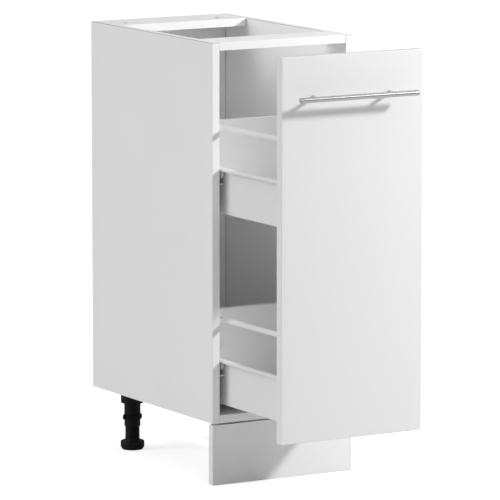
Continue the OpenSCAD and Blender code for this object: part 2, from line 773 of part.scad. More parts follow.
module drawer_screws() color("silver") both_sides()
    for (level = ["upper", "lower"]) {
        for (y = floor_screw_ys)
            translate([-floor_screw_x, y, level_z(level)])
                screw(wood_screw_d, sheet_t + wood_grip, wood_head_d, wood_head_h);
        for (z = bracket_screw_zs)
            translate([-bracket_screw_x, drawer_rear_y, level_z(level) + z]) rotate([90, 0, 0])
                screw(wood_screw_d, sheet_t + wood_grip, wood_head_d, wood_head_h);
    }

side_panel("left");  // side_panel_left
side_panel("right");  // side_panel_right
bottom_panel();
front_rail();
rear_rail();
back_panel();
carcass_dowels();
cam_housings();
cam_bolts();
plinth_board();
plinth_clips();
plinth_clip_screws();
leg_socket("left", leg_front_y);  // leg_socket_front_left
leg_socket("right", leg_front_y);  // leg_socket_front_right
leg_socket("left", leg_rear_y);  // leg_socket_rear_left
leg_socket("right", leg_rear_y);  // leg_socket_rear_right
leg_screws();
leg_ring("left", leg_front_y);  // leg_ring_front_left
leg_ring("right", leg_front_y);  // leg_ring_front_right
leg_ring("left", leg_rear_y);  // leg_ring_rear_left
leg_ring("right", leg_rear_y);  // leg_ring_rear_right
leg_foot("left", leg_front_y);  // leg_foot_front_left
leg_foot("right", leg_front_y);  // leg_foot_front_right
leg_foot("left", leg_rear_y);  // leg_foot_rear_left
leg_foot("right", leg_rear_y);  // leg_foot_rear_right
runner("upper", "left");  // runner_upper_left
runner("upper", "right");  // runner_upper_right
runner("lower", "left");  // runner_lower_left
runner("lower", "right");  // runner_lower_right
runner_screws();
cabinet_roller("upper", "left");  // cabinet_roller_upper_left
cabinet_roller("upper", "right");  // cabinet_roller_upper_right
cabinet_roller("lower", "left");  // cabinet_roller_lower_left
cabinet_roller("lower", "right");  // cabinet_roller_lower_right
front_panel();
door_buffers();
handle_bar();
handle_posts();
handle_screws();
drawer_side("upper", "left");  // drawer_side_upper_left
drawer_side("upper", "right");  // drawer_side_upper_right
drawer_side("lower", "left");  // drawer_side_lower_left
drawer_side("lower", "right");  // drawer_side_lower_right
drawer_bottom("upper");  // drawer_bottom_upper
drawer_bottom("lower");  // drawer_bottom_lower
drawer_back("upper");  // drawer_back_upper
drawer_back("lower");  // drawer_back_lower
gallery_rods("upper");  // gallery_rods_upper
gallery_rods("lower");  // gallery_rods_lower
rod_cups();
rear_brackets("upper");  // rear_brackets_upper
rear_brackets("lower");  // rear_brackets_lower
front_brackets();
front_bracket_screws();
drawer_screws();
drawer_roller("upper", "left");  // drawer_roller_upper_left
drawer_roller("upper", "right");  // drawer_roller_upper_right
drawer_roller("lower", "left");  // drawer_roller_lower_left
drawer_roller("lower", "right");  // drawer_roller_lower_right
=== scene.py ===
"""Dresses the kitchen base cabinet's frame: boards, steel, fittings, legs, handle and studio."""

import math
from itertools import product

import bmesh
import bpy
from mathutils import Matrix, Vector


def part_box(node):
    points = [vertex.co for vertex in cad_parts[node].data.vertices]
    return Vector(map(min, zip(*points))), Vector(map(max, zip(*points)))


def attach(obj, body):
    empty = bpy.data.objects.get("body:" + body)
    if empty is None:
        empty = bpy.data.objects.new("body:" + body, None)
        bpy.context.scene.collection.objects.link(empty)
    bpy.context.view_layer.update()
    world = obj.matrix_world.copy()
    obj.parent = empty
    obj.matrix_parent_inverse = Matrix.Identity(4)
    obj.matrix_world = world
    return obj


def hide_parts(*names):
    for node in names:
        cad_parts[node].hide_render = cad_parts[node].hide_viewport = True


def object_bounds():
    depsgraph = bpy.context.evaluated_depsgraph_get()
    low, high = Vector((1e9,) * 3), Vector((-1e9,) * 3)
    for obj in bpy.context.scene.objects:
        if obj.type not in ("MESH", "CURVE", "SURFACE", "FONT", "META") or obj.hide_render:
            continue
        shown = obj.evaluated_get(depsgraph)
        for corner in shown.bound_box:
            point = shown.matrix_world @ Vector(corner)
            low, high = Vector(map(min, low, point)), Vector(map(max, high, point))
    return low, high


bl_info = {
    "name": "Kitchen Base Cabinet Finish",
    "version": (1, 0, 0),
    "blender": (4, 5, 0),
    "location": "View3D > Sidebar > Cabinet",
    "description": "Dresses a narrow kitchen base cabinet with two drawers behind one front",
    "category": "Object",
}

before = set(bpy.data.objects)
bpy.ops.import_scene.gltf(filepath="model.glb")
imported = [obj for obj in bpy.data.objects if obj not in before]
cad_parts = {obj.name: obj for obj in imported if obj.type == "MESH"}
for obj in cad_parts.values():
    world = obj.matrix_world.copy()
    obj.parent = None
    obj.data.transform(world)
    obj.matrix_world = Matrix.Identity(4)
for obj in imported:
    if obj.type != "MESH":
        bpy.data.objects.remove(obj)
CAD_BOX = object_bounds()

WELD = 1e-6
NEAR = 10 * WELD
SHARP_ANGLE = math.radians(42)
CRISP_ANGLE = math.radians(60)
FLAT_ANGLE = math.radians(0.5)
FULL_TURN = 2 * math.pi
X_AXIS, Y_AXIS, Z_AXIS = (1.0, 0.0, 0.0), (0.0, 1.0, 0.0), (0.0, 0.0, 1.0)
WHITE = (1.0, 1.0, 1.0, 1.0)

LEVELS = ("upper", "lower")
OUTWARD = {"left": -1, "right": 1}

# Fits and fixed sizes of the turned pieces, in metres
AXLE_PLAY = 0.0002
AXLE_HEAD = 0.0006
BORE_FIT = 0.00006
STEM_RADIUS = 0.0143
FLARE_LENGTH = 0.0016

# A handle post's flare: share of its radius, and flare lengths back from the bar's side
POST_FLARE = ((1.0, 2.5), (1.054, 1.6), (1.18, 1.0), (1.18, 0.2))

# A foot pad's rounded edge: steps in from its radius, and up from the floor or down from its top
PAD_FOOT = ((0.0035, 0.0), (0.0028, 0.0006), (0.0012, 0.0032), (0.0, 0.0050))
PAD_TOP = ((0.0, 0.0028), (0.0008, 0.0010), (0.0028, 0.0))

# The hollow between pad and stem: steps out from the stem and up from the pad
STEM_HOLLOW = ((0.0022, 0.0), (0.0006, 0.0006), (0.0, 0.0022))

# Share of the tone that a seam line keeps, and its depth against the grain's height. The lines are
# dark joints and glue lines, and also painted shade along rounded arrises and in inner corners
SEAM_SHADE = 0.25
SEAM_DEPTH = -2.0

# The range in which a noise texture's values mostly lie
NOISE_RANGE = (0.3, 0.7)

# Each board's body and finish
BOARD_NODES = {
    "side_panel_left": ("carcass", "side_board"),
    "side_panel_right": ("carcass", "side_board"),
    "bottom_panel": ("carcass", "cross_board"),
    "front_rail": ("carcass", "cross_board"),
    "rear_rail": ("carcass", "cross_board"),
    "plinth_board": ("carcass", "side_board"),
    "drawer_bottom_upper": ("pullout", "drawer_board"),
    "drawer_bottom_lower": ("pullout", "drawer_board"),
    "drawer_back_upper": ("pullout", "drawer_board"),
    "drawer_back_lower": ("pullout", "drawer_board"),
}

# Body of each set of screws, and the seed of their turns
SCREW_NODES = {
    "runner_screws": ("carcass", 11),
    "leg_screws": ("carcass", 12),
    "plinth_clip_screws": ("carcass", 13),
    "drawer_screws": ("pullout", 14),
    "front_bracket_screws": ("pullout", 15),
    "handle_screws": ("pullout", 16),
}
CAM_SEED = 17

# Body, finish and slot of each fitting whose edges are only softened
FITTING_NODES = {
    "plinth_clips": ("carcass", "plastic", "leg_black"),
    "rear_brackets_upper": ("pullout", "steel", "steel_white"),
    "rear_brackets_lower": ("pullout", "steel", "steel_white"),
    "front_brackets": ("pullout", "steel", "steel_white"),
    "rod_cups": ("pullout", "steel", "steel_white"),
}

# Finish of each solid that keeps its own shape
KEPT_NODES = {
    "back_panel": "back",
    "carcass_dowels": "beech",
    "cam_bolts": "zinc",
    "gallery_rods_upper": "steel",
    "gallery_rods_lower": "steel",
}

# Filled by main: materials and node trees by name
FINISHES = {}
TREES = {}


# Settings


def length(label, default, description):
    """A size in metres for a property group."""
    return bpy.props.FloatProperty(
        name=label, description=description, default=default, min=0.0, precision=5, unit="LENGTH"
    )


def factor(label, default, description):
    """A share from 0 to 1 for a property group."""
    return bpy.props.FloatProperty(
        name=label, description=description, default=default, min=0.0, max=1.0, subtype="FACTOR"
    )


def number(label, default, description, subtype="NONE"):
    """A plain number for a property group."""
    return bpy.props.FloatProperty(
        name=label, description=description, default=default, subtype=subtype
    )


def triple(label, default, description, subtype="NONE", **limits):
    """Three numbers for a property group, such as a place or a way."""
    return bpy.props.FloatVectorProperty(
        name=label, description=description, default=default, subtype=subtype, **limits
    )


def colour(label, default, description):
    """A finish colour for a property group."""
    return triple(label, default, description, "COLOR", min=0.0, max=1.0)


class CabinetSizes(bpy.types.PropertyGroup):
    """Small shapes that the frame's solids leave plain"""

    board_rounding: length("Board rounding", 0.0006, "Rounding along the boards' banded edges")
    front_rounding: length("Front rounding", 0.0012, "Rounding along the front panel's edges")
    fitting_rounding: length("Fitting rounding", 0.0003, "Rounding along brackets and clips")
    bar_rounding: length("Bar rounding", 0.0009, "Rounding of the handle bar's ends")
    band_thickness: length("Band thickness", 0.001, "Thickness of the band glued to a front edge")
    hairline: length("Hairline", 0.0002, "Width of the glue line behind a front edge band")
    # Painted shade: the joint line also darkens rounded arrises and inner corners where shade
    # falls
    joint_and_shade_line: length("Joint line", 0.0007, "Width of the dark line where two boards meet")
    sheet_thickness: length("Sheet thickness", 0.0012, "Thickness of the folded steel")
    bend_radius: length("Bend radius", 0.0016, "Radius of a fold, measured in mid sheet")
    flange_width: length("Flange width", 0.017, "Width of the flange under a drawer bottom")
    lip_width: length("Lip width", 0.010, "Width of a drawer side's outward top lip")
    lip_drop: length("Lip drop", 0.005, "Height of the lip's down-turned edge")
    channel_drop: length("Channel drop", 0.0082, "Drawer side's top edge down to the channel")
    channel_height: length("Channel height", 0.0206, "Inner height of the runner's channel")
    channel_width: length("Channel width", 0.0115, "Width of the runner's flanges")
    flange_start: length("Flange start", 0.021, "Runner's front end back to its top flange")
    axle_width: length("Axle width", 0.005, "Diameter of a roller's axle")
    axle_head_width: length("Axle head width", 0.008, "Diameter of an axle's riveted head")
    recess_width: length("Recess width", 0.0011, "Width of a screw recess's arms")
    stem_thread_depth: length("Thread depth", 0.0010, "Depth of a leg stem's thread")
    thread_pitch: length("Thread pitch", 0.004, "Height of one turn of the stem's thread")


class CabinetFinishes(bpy.types.PropertyGroup):
    """Colours and sheen of the finishes"""

    board_white: colour("Board white", (0.91, 0.91, 0.91), "Melamine face of the boards")
    # The drawers' melamine colour, lifted above the board white as painted light for the shaded
    # drawer insides
    drawer_white_and_painted_light: colour("Drawer white", (0.95, 0.95, 0.95), "Melamine of the drawers' boards")
    front_white: colour("Front white", (0.83, 0.83, 0.83), "Laminate of the front panel")
    steel_white: colour("Steel white", (0.82, 0.82, 0.82), "Powder coat on the folded steel")
    # The back's paint colour, lifted as painted light for the shaded inside of the cabinet
    back_white: colour("Back white", (0.96, 0.96, 0.96), "Painted face of the hardboard back")
    chipboard: colour("Chipboard", (0.34, 0.24, 0.15), "Core inside the boards' holes and grooves")
    hardboard: colour("Hardboard", (0.30, 0.19, 0.11), "Bare rear face of the hardboard back")
    stainless: colour("Stainless", (0.52, 0.52, 0.53), "Satin steel of the handle")
    zinc: colour("Zinc", (0.58, 0.59, 0.61), "Zinc plate on screws and cams")
    black_plastic: colour("Black plastic", (0.005, 0.005, 0.0054), "Moulded legs and clips")
    nylon: colour("Nylon", (0.72, 0.72, 0.70), "Rollers")
    beech: colour("Beech", (0.60, 0.40, 0.22), "Dowels")
    buffer: colour("Buffer", (0.82, 0.82, 0.82), "Soft clear buffers")
    board_sheen: factor("Board roughness", 0.45, "Roughness of the melamine")
    front_sheen: factor("Front roughness", 0.32, "Roughness of the front laminate")


class CabinetStage(bpy.types.PropertyGroup):
    """Studio around the cabinet"""

    key_power: number("Key power", 44.0, "Power of the main lamp", "POWER")
    key_size: length("Key size", 0.24, "Width of the main lamp's round panel")
    key_place: triple("Key place", (1.59, -1.23, 1.57), "Middle of the main lamp", "TRANSLATION")
    window_strength: number("Window strength", 1.33, "Strength of the broad light at the left")
    window_width: number("Window width", math.radians(40), "Angle of the broad light", "ANGLE")
    window_way: triple("Window way", (-1.0, 0.3, 0.4), "Way to the broad light", "DIRECTION")
    wall_strengths: triple(
        "Wall strengths",
        (0.3, 0.38, 0.92),
        "Brightness of the right wall, the wall behind the camera and the ceiling",
    )
    backdrop_strength: number("Backdrop strength", 1.05, "Brightness of the backdrop as seen")
    floor_lift: number("Floor lift", 0.7, "Light added to the floor as seen")
    floor_span: length("Floor span", 40.0, "Half the width of the floor")
    lens: number("Lens", 339.616, "Focal length in millimetres", "DISTANCE_CAMERA")
    camera_place: triple(
        "Camera place", (-4.41544, -7.47344, 1.72224), "Place of the photo's view", "TRANSLATION"
    )
    camera_drop: number("Camera drop", math.radians(8.5523), "How far it looks down", "ANGLE")
    camera_turn: number("Camera turn", math.radians(-30.4777), "Turn from +Y", "ANGLE")


def sizes():
    """The sizes in use."""
    return bpy.context.scene.cabinet_sizes


def finishes():
    """The colours and sheens in use."""
    return bpy.context.scene.cabinet_finishes


# Meshes


def placed(name, data):
    """A new object in the scene, at the origin."""
    made = bpy.data.objects.new(name, data)
    bpy.context.scene.collection.objects.link(made)
    return made


def new_object(name, bm):
    """An object from a bmesh, which is freed."""
    mesh = bpy.data.meshes.new(name)
    bm.to_mesh(mesh)
    bm.free()
    if "custom_normal" in mesh.attributes:
        mesh.attributes.remove(mesh.attributes["custom_normal"])
    return placed(name, mesh)


def settle(obj):
    """Turns an object and its modifiers into one plain mesh."""
    graph = bpy.context.evaluated_depsgraph_get()
    mesh = bpy.data.meshes.new_from_object(obj.evaluated_get(graph), depsgraph=graph)
    obj.modifiers.clear()
    obj.data = mesh
    mesh.name = obj.name
    return obj


def dress(obj, body, finish, node):
    """Shades a piece, gives it its finish and body, and hides the node that it stands for."""
    obj.data.shade_smooth()
    obj.data.set_sharp_from_angle(angle=SHARP_ANGLE)
    obj.modifiers.new("Weighted normals", "WEIGHTED_NORMAL").keep_sharp = True
    settle(obj)
    if not obj.data.materials:
        obj.data.materials.append(FINISHES[finish])
    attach(obj, body)
    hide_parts(node)


def welded(mesh):
    """A bmesh copy of a mesh, with its doubled points joined."""
    bm = bmesh.new()
    bm.from_mesh(mesh)
    bmesh.ops.remove_doubles(bm, verts=bm.verts, dist=WELD)
    return bm


def flat_faced(node):
    """A welded bmesh copy of a frame node, with its flat faces joined up."""
    bm = welded(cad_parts[node].data)
    bmesh.ops.dissolve_limit(bm, angle_limit=FLAT_ANGLE, verts=bm.verts[:], edges=bm.edges[:])
    return bm


def outward(obj):
    """Welds a mesh and points its faces outwards."""
    bm = welded(obj.data)
    bmesh.ops.recalc_face_normals(bm, faces=bm.faces)
    bm.to_mesh(obj.data)
    bm.free()
    return obj


def round_edges(bm, edges, width, steps):
    """Rounds edges with a bevel of a few steps."""
    shape = {"offset": width, "offset_type": "OFFSET", "segments": steps, "profile": 0.5}
    bmesh.ops.bevel(bm, geom=edges, affect="EDGES", clamp_overlap=True, **shape)


def outer_edges(bm, low, high):
    """Edges of a board that lie along its outer box."""

    def walls(co):
        return {
            (axis, side)
            for axis in range(3)
            for side, limit in (("low", low), ("high", high))
            if abs(co[axis] - limit[axis]) < NEAR
        }

    return [e for e in bm.edges if len(walls(e.verts[0].co) & walls(e.verts[1].co)) >= 2]


def crisp_edges(bm):
    """Edges where two faces meet at a clear corner."""
    return [e for e in bm.edges if len(e.link_faces) == 2 and e.calc_face_angle() > CRISP_ANGLE]


def rise(edge):
    """Difference in height between an edge's two ends."""
    return abs(edge.verts[0].co.z - edge.verts[1].co.z)


def block(bm, low, high, rounding=0.0):
    """A box between two corners, with its edges rounded if asked."""
    made = bmesh.ops.create_cube(bm, size=1.0)["verts"]
    for v in made:
        v.co = Vector([low[k] + (v.co[k] + 0.5) * (high[k] - low[k]) for k in range(3)])
    if rounding:
        round_edges(bm, list({e for v in made for e in v.link_edges}), rounding, steps=2)


def add_lathe(bm, profile, place, axis, steps):
    """Spins a closed profile of (radius, height) points round an axis through place."""
    turn = Vector(Z_AXIS).rotation_difference(Vector(axis)).to_matrix().to_4x4()
    move = Matrix.Translation(place) @ turn
    rings = []
    for step in range(steps):
        angle = FULL_TURN * step / steps
        across = Vector((math.cos(angle), math.sin(angle), 0))
        points = [across * radius + Vector((0, 0, z)) for radius, z in profile]
        rings.append([bm.verts.new(move @ point) for point in points])
    after = [*range(1, len(profile)), 0]
    faces = [
        bm.faces.new((here[k], there[k], there[after[k]], here[after[k]]))
        for here, there in zip(rings, rings[1:] + rings[:1])
        for k in range(len(profile))
    ]
    bmesh.ops.remove_doubles(bm, verts=[v for ring in rings for v in ring], dist=WELD)
    flat = [f for f in faces if f.is_valid and f.calc_area() < WELD * WELD]
    bmesh.ops.delete(bm, geom=flat, context="FACES_ONLY")
    bmesh.ops.recalc_face_normals(bm, faces=[f for f in faces if f.is_valid])


def lathed(name, profile, place, axis, steps):
    """An object spun from a closed profile."""
    bm = bmesh.new()
    add_lathe(bm, profile, place, axis, steps)
    return new_object(name, bm)


def bar_outline(radius, half, rounding, steps=4):
    """Half outline of a round bar with rounded ends, from the axis out and back."""
    angles = [math.pi / 2 * k / steps for k in range(steps + 1)]
    end = [
        (radius - rounding + rounding * math.sin(a), rounding - half - rounding * math.cos(a))
        for a in angles
    ]
    return [(0.0, -half), *end, *[(r, -z) for r, z in reversed(end)], (0.0, half)]


def islands(node):
    """Lowest corner, highest corner and points of each separate solid of a node."""
    bm = welded(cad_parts[node].data)
    seen, found = set(), []
    for start in bm.verts:
        if start in seen:
            continue
        stack, points = [start], []
        seen.add(start)
        while stack:
            v = stack.pop()
            points.append(v.co.copy())
            fresh = [e.other_vert(v) for e in v.link_edges if e.other_vert(v) not in seen]
            seen.update(fresh)
            stack.extend(fresh)
        low = Vector([min(p[axis] for p in points) for axis in range(3)])
        high = Vector([max(p[axis] for p in points) for axis in range(3)])
        found.append((low, high, points))
    bm.free()
    return found


def middle(low, high, **fixed):
    """Middle of a box, with one of its coordinates given."""
    point = (low + high) / 2
    for axis, value in fixed.items():
        setattr(point, axis, value)
    return point


def joined(name, parts):
    """One mesh object from several, which are removed."""
    bm = bmesh.new()
    for part in parts:
        bm.from_mesh(part.data)
        bpy.data.objects.remove(part)
    return new_object(name, bm)


# Node trees

SOCKET_TYPES = {float: "NodeSocketFloat", int: "NodeSocketInt", tuple: "NodeSocketVector"}


class NodeTree:
    """A node tree in the making."""

    def __init__(self, tree):
        self.tree = tree

    def plug(self, value, socket):
        """Gives a socket a value, or links it to a socket, a node or each of a list."""
        for source in value if isinstance(value, list) else [value]:
            if isinstance(source, bpy.types.Node):
                source = source.outputs[0]
            if isinstance(source, bpy.types.NodeSocket):
                self.tree.links.new(source, socket)
            else:
                socket.default_value = source

    def node(self, kind, *values, **given):
        """A node. Its inputs are set from values in order, where None skips one, and from the
        names that start with a capital. The other names are the node's settings.
        """
        made = self.tree.nodes.new(kind)
        for name in filter(str.islower, given):
            setattr(made, name, given[name])
        inputs = {name.replace("_", " "): v for name, v in given.items() if not name.islower()}
        for key, value in (*enumerate(values), *inputs.items()):
            if value is not None:
                self.plug(value, made.inputs[key])
        return made

    def maths(self, operation, *values, **settings):
        """Output of a Math node."""
        return self.node("ShaderNodeMath", *values, operation=operation, **settings).outputs[0]

    def vector_maths(self, operation, *values, **given):
        """A Vector Math node."""
        return self.node("ShaderNodeVectorMath", *values, operation=operation, **given)

    def camera_rays(self):
        """Mask of what the camera sees directly."""
        return self.node("ShaderNodeLightPath").outputs["Is Camera Ray"]


class Group(NodeTree):
    """A node group in the making. An input is given by its type or its default value."""

    def __init__(self, name, kind, inputs, outputs):
        super().__init__(bpy.data.node_groups.new(name, kind))
        for label, given in inputs.items():
            socket_type = SOCKET_TYPES.get(type(given), given)
            label = label.replace("_", " ")
            socket = self.tree.interface.new_socket(label, in_out="INPUT", socket_type=socket_type)
            if socket_type != given:
                socket.default_value = given
        for label, socket_type in outputs.items():
            self.tree.interface.new_socket(label, in_out="OUTPUT", socket_type=socket_type)
        self.inner = self.tree.nodes.new("NodeGroupInput").outputs
        self.results = self.tree.nodes.new("NodeGroupOutput").inputs

    def __getitem__(self, label):
        return self.inner[label]

    def close(self, **results):
        """Links the group's outputs and gives its tree."""
        for label, value in results.items():
            self.plug(value, self.results[label])
        return self.tree

    def shape(self, kind, **given):
        """A Geometry node."""
        return self.node(f"GeometryNode{kind}", **given)

    def spin(self, angle):
        """A rotation about the Z axis."""
        return self.node("FunctionNodeAxisAngleToRotation", Axis=Z_AXIS, Angle=angle)

    def spread(self, points, shape, turn):
        """Copies of a shape on points."""
        return self.shape("InstanceOnPoints", Points=points, Instance=shape, Rotation=turn)

    def paint(self, geometry):
        """Ends the tree in plain geometry that carries its material."""
        real = self.shape("RealizeInstances", Geometry=geometry)
        painted = self.shape("SetMaterial", Geometry=real, Material=self["Material"])
        return self.close(Geometry=painted)

    def noise(self, point, scale, **details):
        """Output of a Noise Texture node."""
        return self.node("ShaderNodeTexNoise", Vector=point, Scale=scale, **details).outputs[0]

    def ranged(self, value):
        """A noise value spread over the range from Low to High."""
        limits = (*NOISE_RANGE, self["Low"], self["High"])
        return self.node("ShaderNodeMapRange", value, *limits).outputs[0]


def shape_tree(name, **inputs):
    """A Geometry Nodes tree that takes and gives geometry, with a material among its inputs."""
    geometry = {"Geometry": "NodeSocketGeometry"}
    inputs = {**geometry, **inputs, "Material": "NodeSocketMaterial"}
    made = Group(name, "GeometryNodeTree", inputs, geometry)
    made.tree.is_modifier = True
    return made


def apply_tree(obj, name, finish, **values):
    """Runs a tree on an object with its inputs set by identifier, and keeps the plain result."""
    given = {label.replace("_", " "): value for label, value in values.items()}
    given["Material"] = FINISHES[finish]
    run = obj.modifiers.new(name, "NODES")
    run.node_group = TREES[name]
    for item in run.node_group.interface.items_tree:
        if item.item_type == "SOCKET" and item.in_out == "INPUT" and item.name in given:
            run[item.identifier] = given[item.name]
    return settle(obj)


def fold_tree():
    """Folds a strip of sheet steel along a drawn line and gives it its thickness."""
    fold = shape_tree("Folded sheet", Length=0.4, Thickness=0.0012, Bend_radius=0.0016)
    thickness = fold["Thickness"]
    line = fold.shape("MeshToCurve", Mesh=fold["Geometry"])
    bend = {"Radius": fold["Bend radius"], "Limit Radius": True, "Count": 5}
    bent = fold.shape("FilletCurve", Curve=line, **bend, mode="POLY")
    edges = fold.shape("CurveToMesh", Curve=bent)
    run = fold.node("ShaderNodeCombineXYZ", Y=fold["Length"])
    strip = fold.shape("ExtrudeMesh", Mesh=edges, Offset=run, Offset_Scale=1.0, mode="EDGES")
    half = fold.maths("MULTIPLY", thickness, -0.5)
    inward = fold.vector_maths("SCALE", fold.shape("InputNormal"), Scale=half)
    inner = fold.shape("SetPosition", Geometry=strip, Offset=inward)
    wall = {"Offset Scale": thickness, "Individual": False}
    outer = fold.shape("ExtrudeMesh", Mesh=inner, **wall, mode="FACES")
    shell = [outer, fold.shape("FlipFaces", Mesh=inner)]
    whole = fold.shape("JoinGeometry", Geometry=shell)
    return fold.paint(fold.shape("MergeByDistance", Geometry=whole, Distance=WELD))


def fastener_tree():
    """Sets screws with a cross recess on points, each turned its own way."""
    screw = shape_tree(
        "Set fasteners",
        Head_width=0.0075,
        Head_top_width=0.006,
        Head_height=0.002,
        Shank_width=0.004,
        Shank_length=0.012,
        Recess_width=0.0011,
        Recess_depth=0.0014,
        Seed=7,
    )
    edge_share, crown_share, recess_share = 0.45, 0.96, 0.62
    height, slot = screw["Head height"], screw["Recess width"]

    def times(value, share):
        return screw.maths("MULTIPLY", value, share)

    def cone(bottom, top, depth):
        sides = {"Vertices": 32, "Radius_Bottom": bottom, "Radius_Top": top}
        return screw.shape("MeshCone", **sides, Depth=depth)

    def lifted(part, up):
        way = screw.node("ShaderNodeCombineXYZ", Z=up)
        return screw.shape("Transform", Geometry=part, Translation=way)

    edge_height = times(height, edge_share)
    crown_height = screw.maths("SUBTRACT", height, edge_height)
    head_radius = times(screw["Head width"], 0.5)
    shoulder = times(head_radius, crown_share)
    edge = cone(head_radius, shoulder, edge_height)
    crown = cone(shoulder, times(screw["Head top width"], 0.5), crown_height)
    arm = times(screw["Head top width"], recess_share)
    depth = times(screw["Recess depth"], 2.0)
    arms = []
    for x, y in ((arm, slot), (slot, arm)):
        size = screw.node("ShaderNodeCombineXYZ", x, y, depth)
        arms.append(lifted(screw.shape("MeshCube", Size=size), height))
    cuts = [
        screw.shape("MeshBoolean", Mesh_1=part, Mesh_2=arms, operation="DIFFERENCE")
        for part in (edge, lifted(crown, edge_height))
    ]
    length_down, radius = screw["Shank length"], times(screw["Shank width"], 0.5)
    shank = screw.shape("MeshCylinder", Vertices=16, Radius=radius, Depth=length_down)
    whole = screw.shape("JoinGeometry", Geometry=[*cuts, lifted(shank, times(length_down, -0.5))])

    aim = screw.shape("InputNamedAttribute", Name="aim", data_type="FLOAT_VECTOR")
    way = aim.outputs["Attribute"]
    facing_out = screw.node("FunctionNodeAlignRotationToVector", Vector=way, axis="Z")
    drawn = {"Seed": screw["Seed"], "data_type": "FLOAT"}
    angle = screw.node("FunctionNodeRandomValue", None, None, 0.0, math.pi, **drawn).outputs[1]
    turns = {"Rotation": facing_out, "Rotate_By": screw.spin(angle)}
    turn = screw.node("FunctionNodeRotateRotation", **turns, rotation_space="LOCAL")
    return screw.paint(screw.spread(screw["Geometry"], whole, turn))


def pattern_tree():
    """Repeats a shape evenly round the Z axis."""
    ring = shape_tree("Round pattern", Count=8)
    spots = ring.shape("MeshLine", Count=ring["Count"], Offset=(0.0, 0.0, 0.0))
    share = ring.maths("DIVIDE", ring.shape("InputIndex"), ring["Count"])
    turn = ring.spin(ring.maths("MULTIPLY", share, FULL_TURN))
    return ring.paint(ring.spread(spots, ring["Geometry"], turn))


def thread_tree():
    """Winds a ridge round a stem, from its foot upwards."""
    stem = shape_tree("Wound thread", Radius=0.0124, Depth=0.001, Pitch=0.004, Height=0.03)
    helix = stem.shape(
        "CurveSpiral",
        Resolution=28,
        Rotations=stem.maths("DIVIDE", stem["Height"], stem["Pitch"]),
        Start_Radius=stem["Radius"],
        End_Radius=stem["Radius"],
        Height=stem["Height"],
    )
    section = stem.shape("CurvePrimitiveCircle", Resolution=6, Radius=stem["Depth"])
    ridge = stem.shape("CurveToMesh", Curve=helix, Profile_Curve=section, Fill_Caps=True)
    return stem.paint(stem.shape("JoinGeometry", Geometry=[stem["Geometry"], ridge]))


# Shader groups: each gives values that change over the surface


def shader_group(name, outputs, **inputs):
    """A shader group that takes a point and some values, and gives numbers."""
    inputs = {"Vector": "NodeSocketVector", **inputs}
    return Group(name, "ShaderNodeTree", inputs, dict.fromkeys(outputs, SOCKET_TYPES[float]))


def grain_group():
    """Fine surface texture with a soft clouding of the tone."""
    grain = shader_group("Fine grain", ["Height", "Shade"], Scale=900.0, Clouding=7.0)
    fine = grain.noise(grain["Vector"], grain["Scale"], Detail=3.0, Roughness=0.6)
    soft = grain.noise(grain["Vector"], grain["Clouding"], Detail=2.0)
    return grain.close(Height=fine, Shade=soft)


def handling_group():
    """Roughness that varies where hands and cloths have passed."""
    marks = shader_group("Handling marks", ["Roughness"], Scale=9.0, Low=0.3, High=0.4)
    detail = {"Detail": 4.0, "Roughness": 0.65, "Distortion": 0.6}
    wiped = marks.noise(marks["Vector"], marks["Scale"], **detail)
    return marks.close(Roughness=marks.ranged(wiped))


def seam_and_shade_group():
    """A dark line across an axis, for an edge band's glue line and for board joints, and as
    painted shade along a rounded arris and in an inner corner.
    """
    seam = shader_group("Band seam", ["Line"], Axis=Y_AXIS, Place=0.0, Width=0.0003)
    along = seam.vector_maths("DOT_PRODUCT", seam["Vector"], seam["Axis"]).outputs["Value"]
    away = seam.maths("ABSOLUTE", seam.maths("SUBTRACT", along, seam["Place"]))
    share = seam.maths("DIVIDE", away, seam["Width"])
    return seam.close(Line=seam.maths("SUBTRACT", 1.0, share, use_clamp=True))


def brushed_group():
    """Fine parallel scratches, stretched by the scale of each axis."""
    settings = {"Stretch": (1.0, 1.0, 1.0), "Low": 0.25, "High": 0.4}
    brush = shader_group("Brushed lines", ["Height", "Roughness"], **settings)
    stretched = brush.vector_maths("MULTIPLY", brush["Vector"], brush["Stretch"])
    lines = brush.noise(stretched, 1.0, Detail=5.0, Roughness=0.7)
    return brush.close(Height=lines, Roughness=brush.ranged(lines))


# Materials


def shaded(tone, share=1.0):
    """The same colour, lighter or darker."""
    return (*(min(1.0, channel * share) for channel in tone), 1.0)


class Finish(NodeTree):
    """A material in the making: Principled BSDF, object coordinates and shared groups."""

    def __init__(self, name, **constants):
        self.material = bpy.data.materials.new(name)
        self.material.use_nodes = True
        super().__init__(self.material.node_tree)
        self.feed(**constants)

    def feed(self, **values):
        """Sets or links the shader's inputs."""
        shader = self.tree.nodes["Principled BSDF"]
        for label, value in values.items():
            self.plug(value, shader.inputs[label.replace("_", " ")])

    def point(self):
        """The surface's own point, in the piece's coordinates."""
        return self.node("ShaderNodeTexCoord").outputs["Object"]

    def group(self, name, **inputs):
        """Outputs of a shared group at the surface's point."""
        shared = {"node_tree": TREES[name], "Vector": self.point()}
        return self.node("ShaderNodeGroup", **shared, **inputs).outputs

    def mix(self, share, first, second):
        """A colour between two others, which are the Mix node's inputs 6 and 7."""
        colours = (*[None] * 5, first, second)
        return self.node("ShaderNodeMix", share, *colours, data_type="RGBA").outputs[2]

    def seam_and_shade_lines(self, places):
        """Mask of dark lines at joints and of painted shade, each given by its axis, place and
        width.
        """
        line = 0.0
        for axis, place, width in places:
            seam = self.group("seam", Axis=axis, Place=place, Width=width)
            line = self.maths("MAXIMUM", seam["Line"], line)
        return line

    def bump(self, height, strength, distance):
        """Relief from a height, over a distance in metres."""
        relief = {"Height": height, "Strength": strength, "Distance": distance}
        self.feed(Normal=self.node("ShaderNodeBump", **relief))


